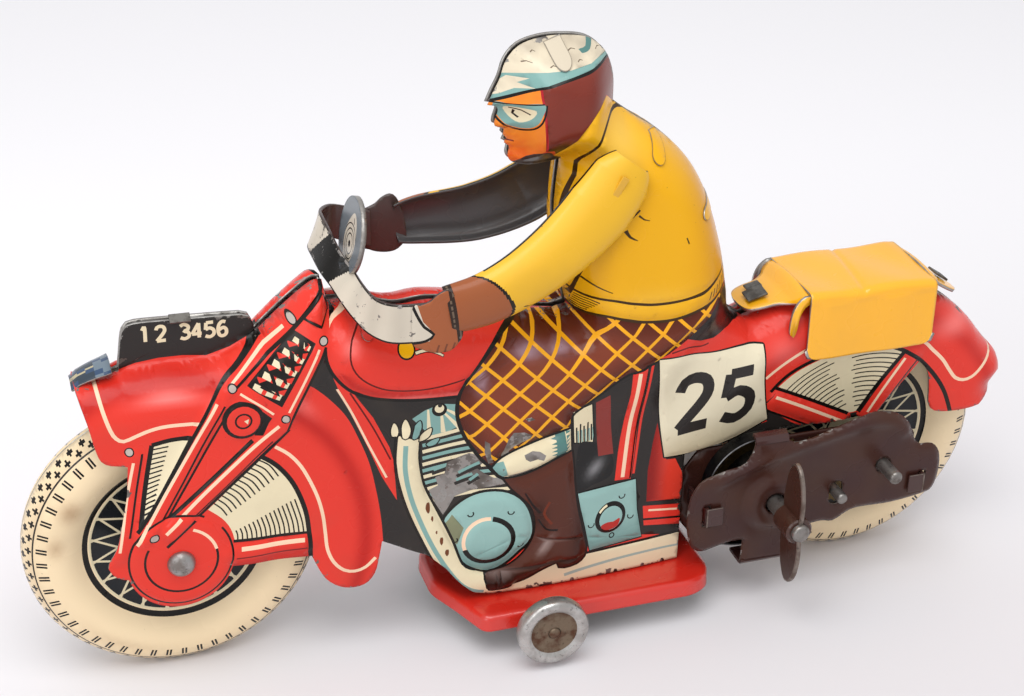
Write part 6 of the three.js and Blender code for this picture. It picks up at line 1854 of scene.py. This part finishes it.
# ------------------------------
# The tabletop studio: a flat sheet of pale paper under two soft lights, with a camera at the
# height of the bench. It is not part of the toy.
scene = bpy.context.scene
sweep = bmesh.new()
PAPER = 3.0
bmesh.ops.create_grid(sweep, x_segments=1, y_segments=1, size=PAPER)
floor_mesh = bpy.data.meshes.new("paper")
sweep.to_mesh(floor_mesh)
sweep.free()
floor = bpy.data.objects.new("paper", floor_mesh)
scene.collection.objects.link(floor)
paper, paper_tree, paper_shader = surface("white paper")
place = paper_tree.nodes.new("ShaderNodeTexCoord")
axes = paper_tree.nodes.new("ShaderNodeSeparateXYZ")
paper_tree.links.new(place.outputs["Object"], axes.inputs[0])
# The paper is painted darker towards the front, as shade where the studio light falls off.
painted_falloff = steps(paper_tree, axes.outputs["Y"], -0.16, 0.2)
paper_tree.links.new(mixed(paper_tree, (0.70, 0.675, 0.695), (0.965, 0.955, 0.975), painted_falloff),
        paper_shader.inputs["Base Color"])
paper_shader.inputs["Roughness"].default_value = 0.75
paper_shader.inputs["Specular IOR Level"].default_value = 0.2
floor_mesh.materials.append(paper)

world = bpy.data.worlds.new("studio")
scene.world = world
world.use_nodes = True
sky = world.node_tree.nodes["Background"]
sky.inputs["Color"].default_value = (0.985, 0.985, 1.0, 1)
sky.inputs["Strength"].default_value = 0.74


def soft_light(name, place, target, wide, high, watts):
    lamp = bpy.data.lights.new(name, "AREA")
    lamp.shape = "RECTANGLE"
    lamp.size, lamp.size_y = wide, high
    lamp.energy = watts
    holder = bpy.data.objects.new(name, lamp)
    holder.location = place
    holder.rotation_mode = "QUATERNION"
    holder.rotation_quaternion = (Vector(target) - Vector(place)).to_track_quat("-Z", "Y")
    scene.collection.objects.link(holder)


soft_light("top softbox", (-0.12, -0.22, 0.62), (0, 0, 0.05), 0.55, 0.4, 2.3)
soft_light("side softbox", (-0.5, -0.45, 0.32), (0, 0, 0.05), 0.3, 0.4, 0.8)
scene.view_settings.view_transform = "Standard"
scene.view_settings.look = "None"

LENS, SENSOR = 65.37, 36.0
EYE = Vector((-31.16, -280.37, 209.21))
AZIMUTH, ELEVATION, ROLL_ANGLE = (math.radians(v) for v in (-18.567, 28.053, 1.116))
back = Vector((math.sin(AZIMUTH) * math.cos(ELEVATION), -math.cos(AZIMUTH) * math.cos(ELEVATION),
        math.sin(ELEVATION)))
right_way = (-back).cross(Vector((0, 0, 1))).normalized()
up_way = right_way.cross(-back).normalized()
across = math.cos(ROLL_ANGLE) * right_way + math.sin(ROLL_ANGLE) * up_way
upward = -math.sin(ROLL_ANGLE) * right_way + math.cos(ROLL_ANGLE) * up_way
lens = bpy.data.cameras.new("camera")
lens.lens, lens.sensor_width = LENS, SENSOR
lens.clip_start, lens.clip_end = 0.01, 20
camera = bpy.data.objects.new("camera", lens)
camera.matrix_world = Matrix.Translation(at(*EYE)) @ Matrix((across, upward, back)).transposed().to_4x4()
scene.collection.objects.link(camera)
scene.camera = camera
